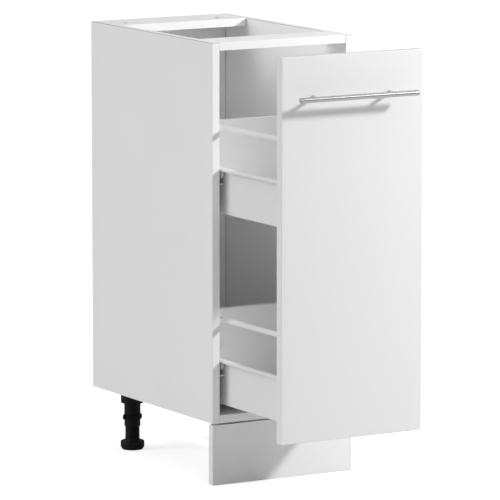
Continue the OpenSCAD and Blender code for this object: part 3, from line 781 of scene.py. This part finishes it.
def grained(name, tone, grain, cloud, shades, wear, roughness, bump, seam_and_shade_lines=(), **constants):
    """A finish with fine grain, a clouded tone, a wiped sheen, and dark seam lines that also carry
    painted shade.
    """
    made = Finish(name, **constants)
    fine = made.group("grain", Scale=grain, Clouding=cloud)
    tint = made.mix(fine["Shade"], *(shaded(tone, share) for share in shades))
    height = fine["Height"]
    if seam_and_shade_lines:
        line = made.seam_and_shade_lines(seam_and_shade_lines)
        # Painted shade: the seam lines darken the tone at joints and also along rounded arrises
        # and in inner corners
        tint = made.mix(line, tint, shaded(tone, SEAM_SHADE))
        height = made.maths("ADD", height, made.maths("MULTIPLY", line, SEAM_DEPTH))
    worn = made.group("handling", Scale=wear, Low=roughness[0], High=roughness[1])
    made.feed(Base_Color=tint, Roughness=worn["Roughness"])
    made.bump(height, *bump)
    return made.material


def brushed(name, tone, stretch, roughness, shades, bump, tangent=None, **constants):
    """A finish with fine parallel lines in its tone, sheen and relief."""
    made = Finish(name, **constants)
    lines = made.group("brushed", Stretch=stretch, Low=roughness[0], High=roughness[1])
    tint = made.mix(lines["Height"], *(shaded(tone, share) for share in shades))
    made.feed(Base_Color=tint, Roughness=lines["Roughness"])
    made.bump(lines["Height"], *bump)
    if tangent:
        made.feed(Tangent=made.node("ShaderNodeCombineXYZ", *tangent))
    return made.material


def back_finish(look, seam_and_shade_lines):
    """Hardboard, painted on its front face and bare behind, with painted shade in the inner
    corners beside the side panels.
    """
    made = Finish("White faced hardboard", IOR=1.5)
    low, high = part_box("back_panel")
    paint_share = 0.4
    paint_end = low.y + paint_share * (high.y - low.y)
    depth = made.node("ShaderNodeSeparateXYZ", made.point()).outputs["Y"]
    fibres = made.group("grain", Scale=650.0, Clouding=60.0)
    shades = [shaded(look.hardboard, share) for share in (0.8, 1.25)]
    bare = made.mix(fibres["Shade"], *shades)
    back_tone_with_painted_light = look.back_white
    # Painted shade: dark lines where the back meets the side panels, in the inner corners
    painted = made.mix(made.seam_and_shade_lines(seam_and_shade_lines), shaded(back_tone_with_painted_light), shaded(back_tone_with_painted_light, SEAM_SHADE))
    faces = made.mix(made.maths("GREATER_THAN", depth, paint_end), painted, bare)
    worn = made.group("handling", Scale=30.0, Low=0.5, High=0.72)
    made.feed(Base_Color=faces, Roughness=worn["Roughness"])
    made.bump(fibres["Height"], 0.3, 0.0003)
    return made.material


def make_finishes():
    """Every finish by name. Grain, clouding, wear and stretch are scales of noise, per metre."""
    look, hairline, joint_and_shade_width = finishes(), sizes().hairline, sizes().joint_and_shade_line
    low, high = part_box("side_panel_left")
    band = (Y_AXIS, low.y + sizes().band_thickness, hairline)
    front_joint = (Y_AXIS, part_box("front_panel")[1].y + sizes().band_thickness, hairline)
    # Cross board lines: the edge band's glue line and the joints with the side panels, widened as
    # painted shade on the rounded arrises; the line at the rear edge is only painted shade on the
    # rear arris
    cross_seam_and_shade_lines = [
        band,
        (X_AXIS, high.x, hairline),
        (X_AXIS, -high.x - joint_and_shade_width, joint_and_shade_width),
        (Y_AXIS, high.y - joint_and_shade_width, joint_and_shade_width),
    ]
    boards = {
        # Painted shade: the line just below the side panels' top edge stands for shade along the
        # rounded arris
        "side_board": (look.board_white, [band, (Z_AXIS, high.z - joint_and_shade_width, joint_and_shade_width)]),
        "cross_board": (look.board_white, cross_seam_and_shade_lines),
        "drawer_board": (look.drawer_white_and_painted_light, [front_joint]),
    }
    board, front = look.board_sheen, look.front_sheen
    made = {
        name: grained(
            f"White melamine {name.replace('_', ' ')}", tone, grain=1400.0, cloud=6.0,
            shades=(0.985, 1.015), wear=7.0, roughness=(board - 0.05, board + 0.07),
            bump=(0.16, 0.00012), seam_and_shade_lines=seam_and_shade_lines, IOR=1.5,
        )
        for name, (tone, seam_and_shade_lines) in boards.items()
    }
    # Painted shade in the back's inner corners beside the side panels
    made["back"] = back_finish(look, [(X_AXIS, x, 2 * joint_and_shade_width) for x in (high.x, -high.x)])
    made["core"] = grained(
        "Chipboard core", look.chipboard, grain=520.0, cloud=900.0, shades=(0.55, 1.4),
        wear=400.0, roughness=(0.75, 0.95), bump=(0.6, 0.0005), IOR=1.4,
    )
    made["front"] = grained(
        "White laminate front", look.front_white, grain=1100.0, cloud=3.5, shades=(0.99, 1.01),
        wear=5.0, roughness=(front - 0.04, front + 0.08), bump=(0.08, 0.0001),
        IOR=1.5, Coat_Weight=0.15, Coat_Roughness=0.2,
    )
    made["steel"] = grained(
        "White powder coat", look.steel_white, grain=2400.0, cloud=14.0, shades=(0.98, 1.02),
        wear=16.0, roughness=(0.34, 0.46), bump=(0.2, 0.00015),
        IOR=1.5, Coat_Weight=0.1, Coat_Roughness=0.3,
    )
    made["plastic"] = grained(
        "Black moulded plastic", look.black_plastic, grain=3000.0, cloud=40.0,
        shades=(0.7, 1.4), wear=45.0, roughness=(0.42, 0.6), bump=(0.25, 0.0002),
        IOR=1.49, Specular_IOR_Level=0.2,
    )
    made["nylon"] = grained(
        "White nylon", look.nylon, grain=1200.0, cloud=90.0, shades=(0.94, 1.03),
        wear=120.0, roughness=(0.35, 0.5), bump=(0.12, 0.0001),
        IOR=1.53, Subsurface_Weight=0.15, Subsurface_Scale=0.002,
        Subsurface_Radius=(1.0, 0.95, 0.9),
    )
    made["buffer"] = grained(
        "Soft clear buffer", look.buffer, grain=1500.0, cloud=200.0, shades=(0.95, 1.05),
        wear=200.0, roughness=(0.3, 0.45), bump=(0.1, 0.0001),
        IOR=1.45, Transmission_Weight=0.5,
    )
    made["stainless"] = brushed(
        "Satin stainless steel", look.stainless, stretch=(9000.0, 260.0, 260.0),
        roughness=(0.21, 0.29), shades=(0.9, 1.08), bump=(0.12, 0.00005),
        tangent=X_AXIS, Metallic=1.0, Anisotropic=0.75,
    )
    made["zinc"] = brushed(
        "Zinc plated steel", look.zinc, stretch=(1500.0, 1500.0, 1500.0),
        roughness=(0.3, 0.5), shades=(0.85, 1.1), bump=(0.15, 0.00006), Metallic=1.0,
    )
    made["beech"] = brushed(
        "Ribbed beech", look.beech, stretch=(90.0, 1400.0, 1400.0),
        roughness=(0.55, 0.75), shades=(0.75, 1.2), bump=(0.4, 0.0003), IOR=1.45,
    )
    return made


# Pieces


class CABINET_OT_boards(bpy.types.Operator):
    """Round the banded edges of the carcass, plinth and drawer boards"""

    bl_idname = "cabinet.boards"
    bl_label = "Boards"

    def execute(self, context):
        rounding = sizes().board_rounding
        skin = 2 * rounding
        for node, (body, finish) in BOARD_NODES.items():
            low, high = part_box(node)
            bm = flat_faced(node)
            round_edges(bm, outer_edges(bm, low, high), rounding, steps=3)
            board = new_object(f"{node}_board", bm)
            board.data.materials.append(FINISHES[finish])
            board.data.materials.append(FINISHES["core"])
            for face in board.data.polygons:
                at = face.center
                depth = min(min(at[k] - low[k], high[k] - at[k]) for k in range(3))
                face.material_index = int(depth > skin)
            dress(board, body, finish, node)
        return {"FINISHED"}


class CABINET_OT_front_panel(bpy.types.Operator):
    """Make the front panel as one slab with softly rounded edges"""

    bl_idname = "cabinet.front_panel"
    bl_label = "Front panel"

    def execute(self, context):
        bm = bmesh.new()
        block(bm, *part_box("front_panel"))
        round_edges(bm, bm.edges[:], sizes().front_rounding, steps=4)
        slab = new_object("front_slab", bm)
        dress(slab, "pullout", "front", "front_panel")
        return {"FINISHED"}


class CABINET_OT_handle(bpy.types.Operator):
    """Turn the handle's bar and posts"""

    bl_idname = "cabinet.handle"
    bl_label = "Handle"

    def execute(self, context):
        low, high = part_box("handle_bar")
        outline = bar_outline((high.z - low.z) / 2, (high.x - low.x) / 2, sizes().bar_rounding)
        bar = lathed("handle_bar_turned", outline, (low + high) / 2, X_AXIS, steps=64)
        dress(bar, "pullout", "stainless", "handle_bar")

        bm = bmesh.new()
        chamfer = POST_FLARE[-1][1] * FLARE_LENGTH
        for low, high, _ in islands("handle_posts"):
            radius, span = (high.x - low.x) / 2, high.y - low.y
            flare = [(radius * share, span - back * FLARE_LENGTH) for share, back in POST_FLARE]
            tip = (flare[-1][0] - chamfer, span)
            outline = [(0.0, 0.0), (radius, 0.0), *flare, tip, (0.0, span)]
            add_lathe(bm, outline, middle(low, high, y=low.y), Y_AXIS, steps=40)
        posts = new_object("handle_posts_turned", bm)
        dress(posts, "pullout", "stainless", "handle_posts")
        return {"FINISHED"}


def folded(name, line, start, run):
    """A folded steel strip that follows a line of (x, z) points from start, for run metres."""
    bm = bmesh.new()
    verts = [bm.verts.new((x, start, z)) for x, z in line]
    for first, second in zip(verts, verts[1:]):
        bm.edges.new((first, second))
    shape = {"Thickness": sizes().sheet_thickness, "Bend radius": sizes().bend_radius}
    return outward(apply_tree(new_object(name, bm), "fold", "steel", Length=run, **shape))


def roller_place(kind, level, side):
    """Middle of a roller and its half width and radius."""
    low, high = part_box(f"{kind}_roller_{level}_{side}")
    return (low + high) / 2, (high.x - low.x) / 2, (high.z - low.z) / 2


def axle(start, kind, level, side, way):
    """A riveted axle stub from start to just past its roller, along X: way is 1 or -1."""
    centre, half_width, _ = roller_place(kind, level, side)
    run = abs(centre.x + way * (half_width + AXLE_PLAY + AXLE_HEAD) - start)
    shaft, head = sizes().axle_width / 2, sizes().axle_head_width / 2
    slope_up, slope_in = 0.4 * AXLE_HEAD, 0.6 * AXLE_HEAD
    outline = [
        (0.0, 0.0), (shaft, 0.0), (shaft, run - AXLE_HEAD), (head, run - AXLE_HEAD),
        (head, run - slope_up), (head - slope_in, run), (0.0, run),
    ]
    return lathed("axle", outline, Vector((start, centre.y, centre.z)), (way, 0, 0), steps=32)


class CABINET_OT_drawer_sides(bpy.types.Operator):
    """Fold the four drawer sides from sheet steel"""

    bl_idname = "cabinet.drawer_sides"
    bl_label = "Drawer sides"

    def execute(self, context):
        size = sizes()
        half = size.sheet_thickness / 2
        for level, (side, out) in product(LEVELS, OUTWARD.items()):
            node = f"drawer_side_{level}_{side}"
            low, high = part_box(node)
            edge = low.x if side == "left" else high.x
            wall = edge - out * size.lip_width
            line = [
                (wall - out * size.flange_width, low.z + half),
                (wall - out * half, low.z + half), (wall - out * half, high.z - half),
                (edge - out * half, high.z - half),
                (edge - out * half, high.z - size.lip_drop),
            ]
            sheet = folded("sheet", line, low.y, high.y - low.y)
            stub = axle(wall - out * size.sheet_thickness, "drawer", level, side, out)
            piece = joined(f"{node}_folded", [sheet, stub])
            dress(piece, "pullout", "steel", node)
        return {"FINISHED"}


class CABINET_OT_runners(bpy.types.Operator):
    """Fold the four runner channels and rivet their front axles"""

    bl_idname = "cabinet.runners"
    bl_label = "Runners"

    def execute(self, context):
        size = sizes()
        half = size.sheet_thickness / 2
        for level, (side, out) in product(LEVELS, OUTWARD.items()):
            node = f"runner_{level}_{side}"
            low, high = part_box(node)
            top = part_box(f"drawer_side_{level}_left")[1].z - size.channel_drop
            bottom = top - size.channel_height
            wall = low.x if side == "left" else high.x
            tip, web = wall - out * size.channel_width, wall - out * half
            floor = [(tip, bottom - half), (web, bottom - half)]
            channel = [*floor, (web, top + half), (tip, top + half)]
            mouth = [*floor, (web, top + size.sheet_thickness)]
            mouth_end = low.y + size.flange_start
            parts = [
                folded("mouth", mouth, low.y, size.flange_start),
                folded("channel", channel, mouth_end, high.y - mouth_end),
                axle(web, "cabinet", level, side, -out),
            ]
            piece = joined(f"{node}_folded", parts)
            dress(piece, "carcass", "steel", node)
        return {"FINISHED"}


class CABINET_OT_rollers(bpy.types.Operator):
    """Turn the eight nylon rollers"""

    bl_idname = "cabinet.rollers"
    bl_label = "Rollers"

    def execute(self, context):
        bore = sizes().axle_width / 2 + BORE_FIT
        hub_wall, slope, crown = 0.0014, 0.0003, 0.0007
        hub, shoulder = bore + hub_wall, 0.3 * crown
        rim_share, dish_share = 0.78, 0.28
        for kind, level, side in product(("cabinet", "drawer"), LEVELS, OUTWARD):
            node = f"{kind}_roller_{level}_{side}"
            centre, half, radius = roller_place(kind, level, side)
            rim, dish = radius * rim_share, half * (1 - dish_share)
            face = [
                (bore, -half), (hub, -half), (hub + slope, -dish), (rim, -dish),
                (rim + slope, -half), (radius - crown, -half),
                (radius - shoulder, shoulder - half), (radius, crown - half),
            ]
            outline = [*face, *[(r, -x) for r, x in reversed(face)]]
            wheel = lathed(f"{node}_wheel", outline, centre, X_AXIS, steps=56)
            dress(wheel, node, "nylon", node)
        return {"FINISHED"}


def stand(node):
    """Corners of a leg piece and the point where its axis meets the floor."""
    low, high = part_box(node)
    return low, high, middle(low, high, z=0)


def patterned(name, bm, place, count):
    """Repeats a small shape round the Z axis and moves it to its place."""
    shape = apply_tree(new_object(name, bm), "pattern", "plastic", Count=count)
    shape.data.transform(Matrix.Translation(place))
    return shape


def leg_socket(node):
    """Parts of a socket: a screwed plate, a boss with its sleeve, and eight ribs."""
    low, high, centre = stand(node)
    half = (high.x - low.x) / 2
    plate_t, plate_corner, boss_r, boss_h, sleeve_r = 0.004, 0.007, 0.022, 0.022, 0.0157
    bore_r, bore_roof = STEM_RADIUS + BORE_FIT, 0.002
    soft, fine, overlap = 0.0006, 0.0004, 0.0005
    under = high.z - plate_t
    ceiling, boss_low = under - bore_roof, under - boss_h

    bm = bmesh.new()
    block(bm, centre + Vector((-half, -half, under)), centre + Vector((half, half, high.z)))
    round_edges(bm, [e for e in bm.edges if rise(e) > plate_t / 2], plate_corner, steps=6)
    round_edges(bm, [e for e in crisp_edges(bm) if rise(e) < WELD], soft, steps=2)
    plate = new_object("plate", bm)

    outline = [
        (0.0, ceiling), (0.0, under + overlap), (boss_r, under + overlap),
        (boss_r, boss_low + 3 * fine), (boss_r - fine, boss_low + fine),
        (boss_r - 3 * fine, boss_low), (sleeve_r + soft, boss_low),
        (sleeve_r, boss_low - soft), (sleeve_r, low.z + 2 * fine),
        (sleeve_r - soft, low.z), (bore_r + fine / 2, low.z),
        (bore_r, low.z + soft / 2), (bore_r, ceiling),
    ]
    boss = lathed("boss", outline, centre, Z_AXIS, steps=64)

    rib_inset, rib_drop, rib_half = 0.0015, 0.012, 0.0009
    root, rib_end, rib_top = boss_r - soft, half - rib_inset, under + fine / 2
    rib = [(root, rib_top), (rib_end, rib_top), (root, under - rib_drop)]
    bm = bmesh.new()
    first, second = ([bm.verts.new((x, y, z)) for x, z in rib] for y in (-rib_half, rib_half))
    for corners in (first, second):
        bm.faces.new(corners)
    for k, after in ((0, 1), (1, 2), (2, 0)):
        bm.faces.new((first[k], first[after], second[after], second[k]))
    bmesh.ops.recalc_face_normals(bm, faces=bm.faces)
    return [plate, boss, patterned("ribs", bm, centre, count=8)]


def leg_ring(node):
    """Parts of an adjusting ring: a rim with its skirt, four lugs and fine grips."""
    low, high, centre = stand(node)
    rim_h, rim_r, skirt_r, bore_r = 0.0085, 0.0168, 0.01545, STEM_RADIUS + BORE_FIT
    soft, fine, ease = 0.0006, 0.0004, 0.0005
    rim_low = high.z - rim_h
    outline = [
        (bore_r, low.z), (skirt_r - ease, low.z), (skirt_r, low.z + ease),
        (skirt_r, rim_low - fine), (skirt_r + fine, rim_low), (rim_r - soft, rim_low),
        (rim_r, rim_low + soft), (rim_r, high.z - soft), (rim_r - soft, high.z),
        (bore_r, high.z),
    ]
    rim = lathed("rim", outline, centre, Z_AXIS, steps=72)
    lug_end, lug_half, lug_rounding = (high.x - low.x) / 2, 0.003, 0.0007
    bm = bmesh.new()
    block(bm, (skirt_r, -lug_half, rim_low), (lug_end, lug_half, high.z), lug_rounding)
    lugs = patterned("lugs", bm, centre, count=4)
    grip_half, grip_inset, grip_rounding = 0.0005, 0.001, 0.0002
    bm = bmesh.new()
    start = (rim_r - soft, -grip_half, rim_low + grip_inset)
    end = (rim_r + soft, grip_half, high.z - grip_inset)
    block(bm, start, end, grip_rounding)
    return [rim, lugs, patterned("grips", bm, centre, count=36)]


def leg_foot(node):
    """A foot in one part: a round pad under a threaded stem."""
    low, high, centre = stand(node)
    depth, pitch = sizes().stem_thread_depth, sizes().thread_pitch
    pad_r, pad_h, core = (high.x - low.x) / 2, 0.017, STEM_RADIUS - depth
    pad_top, stem_end, thread_start, thread_end = low.z + pad_h, 0.001, 0.003, 0.002
    start = pad_top + thread_start
    outline = [
        (0.0, low.z),
        *[(pad_r - inward, low.z + up) for inward, up in PAD_FOOT],
        *[(pad_r - inward, pad_top - down) for inward, down in PAD_TOP],
        *[(STEM_RADIUS + out, pad_top + up) for out, up in STEM_HOLLOW],
        (core, start),
        (core, high.z - stem_end),
        (core - stem_end, high.z),
        (0.0, high.z),
    ]
    stem = lathed("stem", outline, Vector((0, 0, 0)), Z_AXIS, steps=64)
    stem.data.transform(Matrix.Translation((0, 0, -start)))
    run = high.z - start - thread_end
    apply_tree(stem, "thread", "plastic", Radius=core, Depth=depth, Pitch=pitch, Height=run)
    stem.data.transform(Matrix.Translation(centre + Vector((0, 0, start))))
    return [stem]


class CABINET_OT_legs(bpy.types.Operator):
    """Mould the legs: ribbed sockets, gripped rings and threaded feet"""

    bl_idname = "cabinet.legs"
    bl_label = "Legs"

    def execute(self, context):
        makers = {"socket": leg_socket, "ring": leg_ring, "foot": leg_foot}
        for end, side, kind in product(("front", "rear"), OUTWARD, makers):
            node = f"leg_{kind}_{end}_{side}"
            piece = joined(f"{node}_moulded", makers[kind](node))
            dress(piece, "carcass" if kind == "socket" else node, "plastic", node)
        return {"FINISHED"}


def width_at(level, spread):
    """Width of a solid at one level, from its points' distances out and levels."""
    return 2 * max(reach for reach, height in spread if abs(height - level) < NEAR)


def screws_in(node):
    """Seats, aims and sizes of a node's screws, read from its separate solids."""
    seats, aims = [], []
    for low, high, points in islands(node):
        spans, centre = high - low, (low + high) / 2
        axis = max(range(3), key=lambda k: spans[k])
        others = [k for k in range(3) if k != axis]
        spread = [(math.hypot(*(p[k] - centre[k] for k in others)), p[axis]) for p in points]
        widest = max(reach for reach, _ in spread)
        seat_levels = [height for reach, height in spread if reach > widest - NEAR]
        seat_level = sum(seat_levels) / len(seat_levels)
        head, tip = sorted((low[axis], high[axis]), key=lambda end: abs(end - seat_level))
        seat, aim = centre.copy(), Vector((0, 0, 0))
        seat[axis] = seat_level
        aim[axis] = 1.0 if head > seat_level else -1.0
        seats.append(seat)
        aims.append(aim)
        measures = {
            "Head_width": 2 * widest,
            "Head_top_width": width_at(head, spread),
            "Head_height": abs(head - seat_level),
            "Shank_width": width_at(tip, spread),
            "Shank_length": abs(seat_level - tip),
        }
    return seats, aims, measures


def set_fasteners(node, body, seed, seats, aims, measures):
    """Makes one mesh of a node's fasteners from their seats and aims."""
    recess_share, tallest = 0.6, 0.0035
    bm = bmesh.new()
    for seat in seats:
        bm.verts.new(seat)
    points = new_object(f"{node}_set", bm)
    aim = points.data.attributes.new("aim", "FLOAT_VECTOR", "POINT")
    for value, direction in zip(aim.data, aims):
        value.vector = direction
    recess = {
        "Recess_width": sizes().recess_width,
        "Recess_depth": recess_share * min(measures["Head_height"], tallest),
    }
    piece = apply_tree(points, "fastener", "zinc", Seed=seed, **measures, **recess)
    dress(piece, body, "zinc", node)


class CABINET_OT_fasteners(bpy.types.Operator):
    """Set the screws and cam fittings"""

    bl_idname = "cabinet.fasteners"
    bl_label = "Screws and cams"

    def execute(self, context):
        for node, (body, seed) in SCREW_NODES.items():
            set_fasteners(node, body, seed, *screws_in(node))
        cams = [(low, high) for low, high, _ in islands("cam_housings")]
        seats = [middle(low, high, z=high.z) for low, high in cams]
        low, high = cams[-1]
        width, top_share, shank_share = high.x - low.x, 0.94, 0.2
        measures = {
            "Head_width": width,
            "Head_top_width": width * top_share,
            "Head_height": high.z - low.z,
            "Shank_width": width * shank_share,
            "Shank_length": 0.0005,
        }
        aims = [Vector((0, 0, -1))] * len(seats)
        set_fasteners("cam_housings", "carcass", CAM_SEED, seats, aims, measures)
        return {"FINISHED"}


class CABINET_OT_fittings(bpy.types.Operator):
    """Soften the edges of brackets, cups and clips, and dome the buffers"""

    bl_idname = "cabinet.fittings"
    bl_label = "Brackets, clips and buffers"

    def execute(self, context):
        for node, (body, finish, slot) in FITTING_NODES.items():
            bm = flat_faced(node)
            round_edges(bm, crisp_edges(bm), sizes().fitting_rounding, steps=2)
            dress(new_object(f"{node}_soft", bm), body, finish, node)
        wall_share, dome_angles = 0.35, (0.0, 0.35, 0.7, 1.05, 1.35)
        bm = bmesh.new()
        for low, high, _ in islands("door_buffers"):
            radius, height = (high.x - low.x) / 2, high.y - low.y
            dome = [
                (radius * math.cos(a), height * (wall_share + (1 - wall_share) * math.sin(a)))
                for a in dome_angles
            ]
            outline = [(0.0, 0.0), (radius, 0.0), *dome, (0.0, height)]
            add_lathe(bm, outline, middle(low, high, y=low.y), Y_AXIS, steps=32)
        piece = new_object("door_buffers_domed", bm)
        dress(piece, "pullout", "buffer", "door_buffers")
        return {"FINISHED"}


class CABINET_OT_kept_solids(bpy.types.Operator):
    """Give the solids that stay as they are their finish"""

    bl_idname = "cabinet.kept_solids"
    bl_label = "Kept solids"

    def execute(self, context):
        for node, finish in KEPT_NODES.items():
            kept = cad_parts[node]
            kept.data.materials.clear()
            kept.data.materials.append(FINISHES[finish])
        return {"FINISHED"}


def facing(name, lamp, way):
    """A lamp in the scene that shines from the way given."""
    made = placed(name, lamp)
    made.rotation_euler = Vector(way).to_track_quat("Z", "Y").to_euler()
    return made


class CABINET_OT_stage(bpy.types.Operator):
    """Set up the pale floor, the studio light and the camera"""

    bl_idname = "cabinet.stage"
    bl_label = "Stage"

    def floor(self, stage):
        """A pale floor that the camera sees almost white."""
        span = stage.floor_span
        mesh = bpy.data.meshes.new("studio_floor")
        corners = [(-span, -span, 0), (span, -span, 0), (span, span, 0), (-span, span, 0)]
        mesh.from_pydata(corners, [], [(0, 1, 2, 3)])
        matt = {"Base_Color": (0.6, 0.6, 0.6, 1.0), "Roughness": 0.9}
        pale = Finish("Pale floor", **matt, Emission_Color=WHITE)
        lift = pale.maths("MULTIPLY", pale.camera_rays(), stage.floor_lift)
        pale.feed(Emission_Strength=lift)
        mesh.materials.append(pale.material)
        placed("studio_floor", mesh)

    def walls(self, stage):
        """A world that lights like a room with a right wall, a front wall and a ceiling."""
        world = bpy.data.worlds.new("Studio")
        world.use_nodes = True
        sky = world.node_tree.nodes["Background"].inputs
        made = NodeTree(world.node_tree)
        way = made.node("ShaderNodeTexCoord").outputs["Generated"]
        toward_walls = made.vector_maths("MULTIPLY", way, (1.0, -1.0, 1.0))
        lit = made.vector_maths("MAXIMUM", toward_walls, (0.0, 0.0, 0.0))
        squared = made.vector_maths("MULTIPLY", lit, lit)
        walls = made.vector_maths("DOT_PRODUCT", squared, stage.wall_strengths).outputs["Value"]
        strengths = (None, None, walls, stage.backdrop_strength)
        strength = made.node("ShaderNodeMapRange", made.camera_rays(), *strengths)
        made.plug(WHITE, sky["Color"])
        made.plug(strength, sky["Strength"])
        return world

    def execute(self, context):
        scene = context.scene
        stage = scene.cabinet_stage
        self.floor(stage)
        scene.world = self.walls(stage)

        low, high = CAD_BOX
        lamp = bpy.data.lights.new("Key", "AREA")
        lamp.energy, lamp.shape, lamp.size = stage.key_power, "DISK", stage.key_size
        key = facing("Key", lamp, Vector(stage.key_place) - (low + high) / 2)
        key.location = stage.key_place
        window = bpy.data.lights.new("Window", "SUN")
        window.energy, window.angle = stage.window_strength, stage.window_width
        facing("Window", window, stage.window_way)

        view = bpy.data.cameras.new("Photo view")
        view.sensor_width, view.lens, view.clip_end = 36.0, stage.lens, 100.0
        scene.camera = placed("Photo view", view)
        scene.camera.location = stage.camera_place
        scene.camera.rotation_euler = (math.pi / 2 - stage.camera_drop, 0.0, stage.camera_turn)
        scene.view_settings.view_transform = "Standard"
        return {"FINISHED"}


class CABINET_PT_sidebar(bpy.types.Panel):
    """Lists the cabinet's steps and settings"""

    bl_idname = "CABINET_PT_sidebar"
    bl_label = "Kitchen base cabinet"
    bl_space_type = "VIEW_3D"
    bl_region_type = "UI"
    bl_category = "Cabinet"

    def draw(self, context):
        for step in STEPS:
            self.layout.operator(step.bl_idname)
        for group in SETTINGS:
            box = self.layout.box()
            settings = getattr(context.scene, group)
            for name in settings.__annotations__:
                box.prop(settings, name)


STEPS = (
    CABINET_OT_boards,
    CABINET_OT_front_panel,
    CABINET_OT_handle,
    CABINET_OT_drawer_sides,
    CABINET_OT_runners,
    CABINET_OT_rollers,
    CABINET_OT_legs,
    CABINET_OT_fasteners,
    CABINET_OT_fittings,
    CABINET_OT_kept_solids,
    CABINET_OT_stage,
)
SETTINGS = {
    "cabinet_sizes": CabinetSizes,
    "cabinet_finishes": CabinetFinishes,
    "cabinet_stage": CabinetStage,
}
CLASSES = (*SETTINGS.values(), *STEPS, CABINET_PT_sidebar)


def register():
    for made in CLASSES:
        bpy.utils.register_class(made)
    for name, group in SETTINGS.items():
        setattr(bpy.types.Scene, name, bpy.props.PointerProperty(type=group))


def unregister():
    for name in SETTINGS:
        delattr(bpy.types.Scene, name)
    for made in reversed(CLASSES):
        bpy.utils.unregister_class(made)


def main():
    register()
    TREES.update(
        grain=grain_group(),
        handling=handling_group(),
        seam=seam_and_shade_group(),
        brushed=brushed_group(),
        fold=fold_tree(),
        fastener=fastener_tree(),
        pattern=pattern_tree(),
        thread=thread_tree(),
    )
    FINISHES.update(make_finishes())
    for step in STEPS:
        area, name = step.bl_idname.split(".")
        getattr(getattr(bpy.ops, area), name)()


if __name__ == "__main__":
    main()
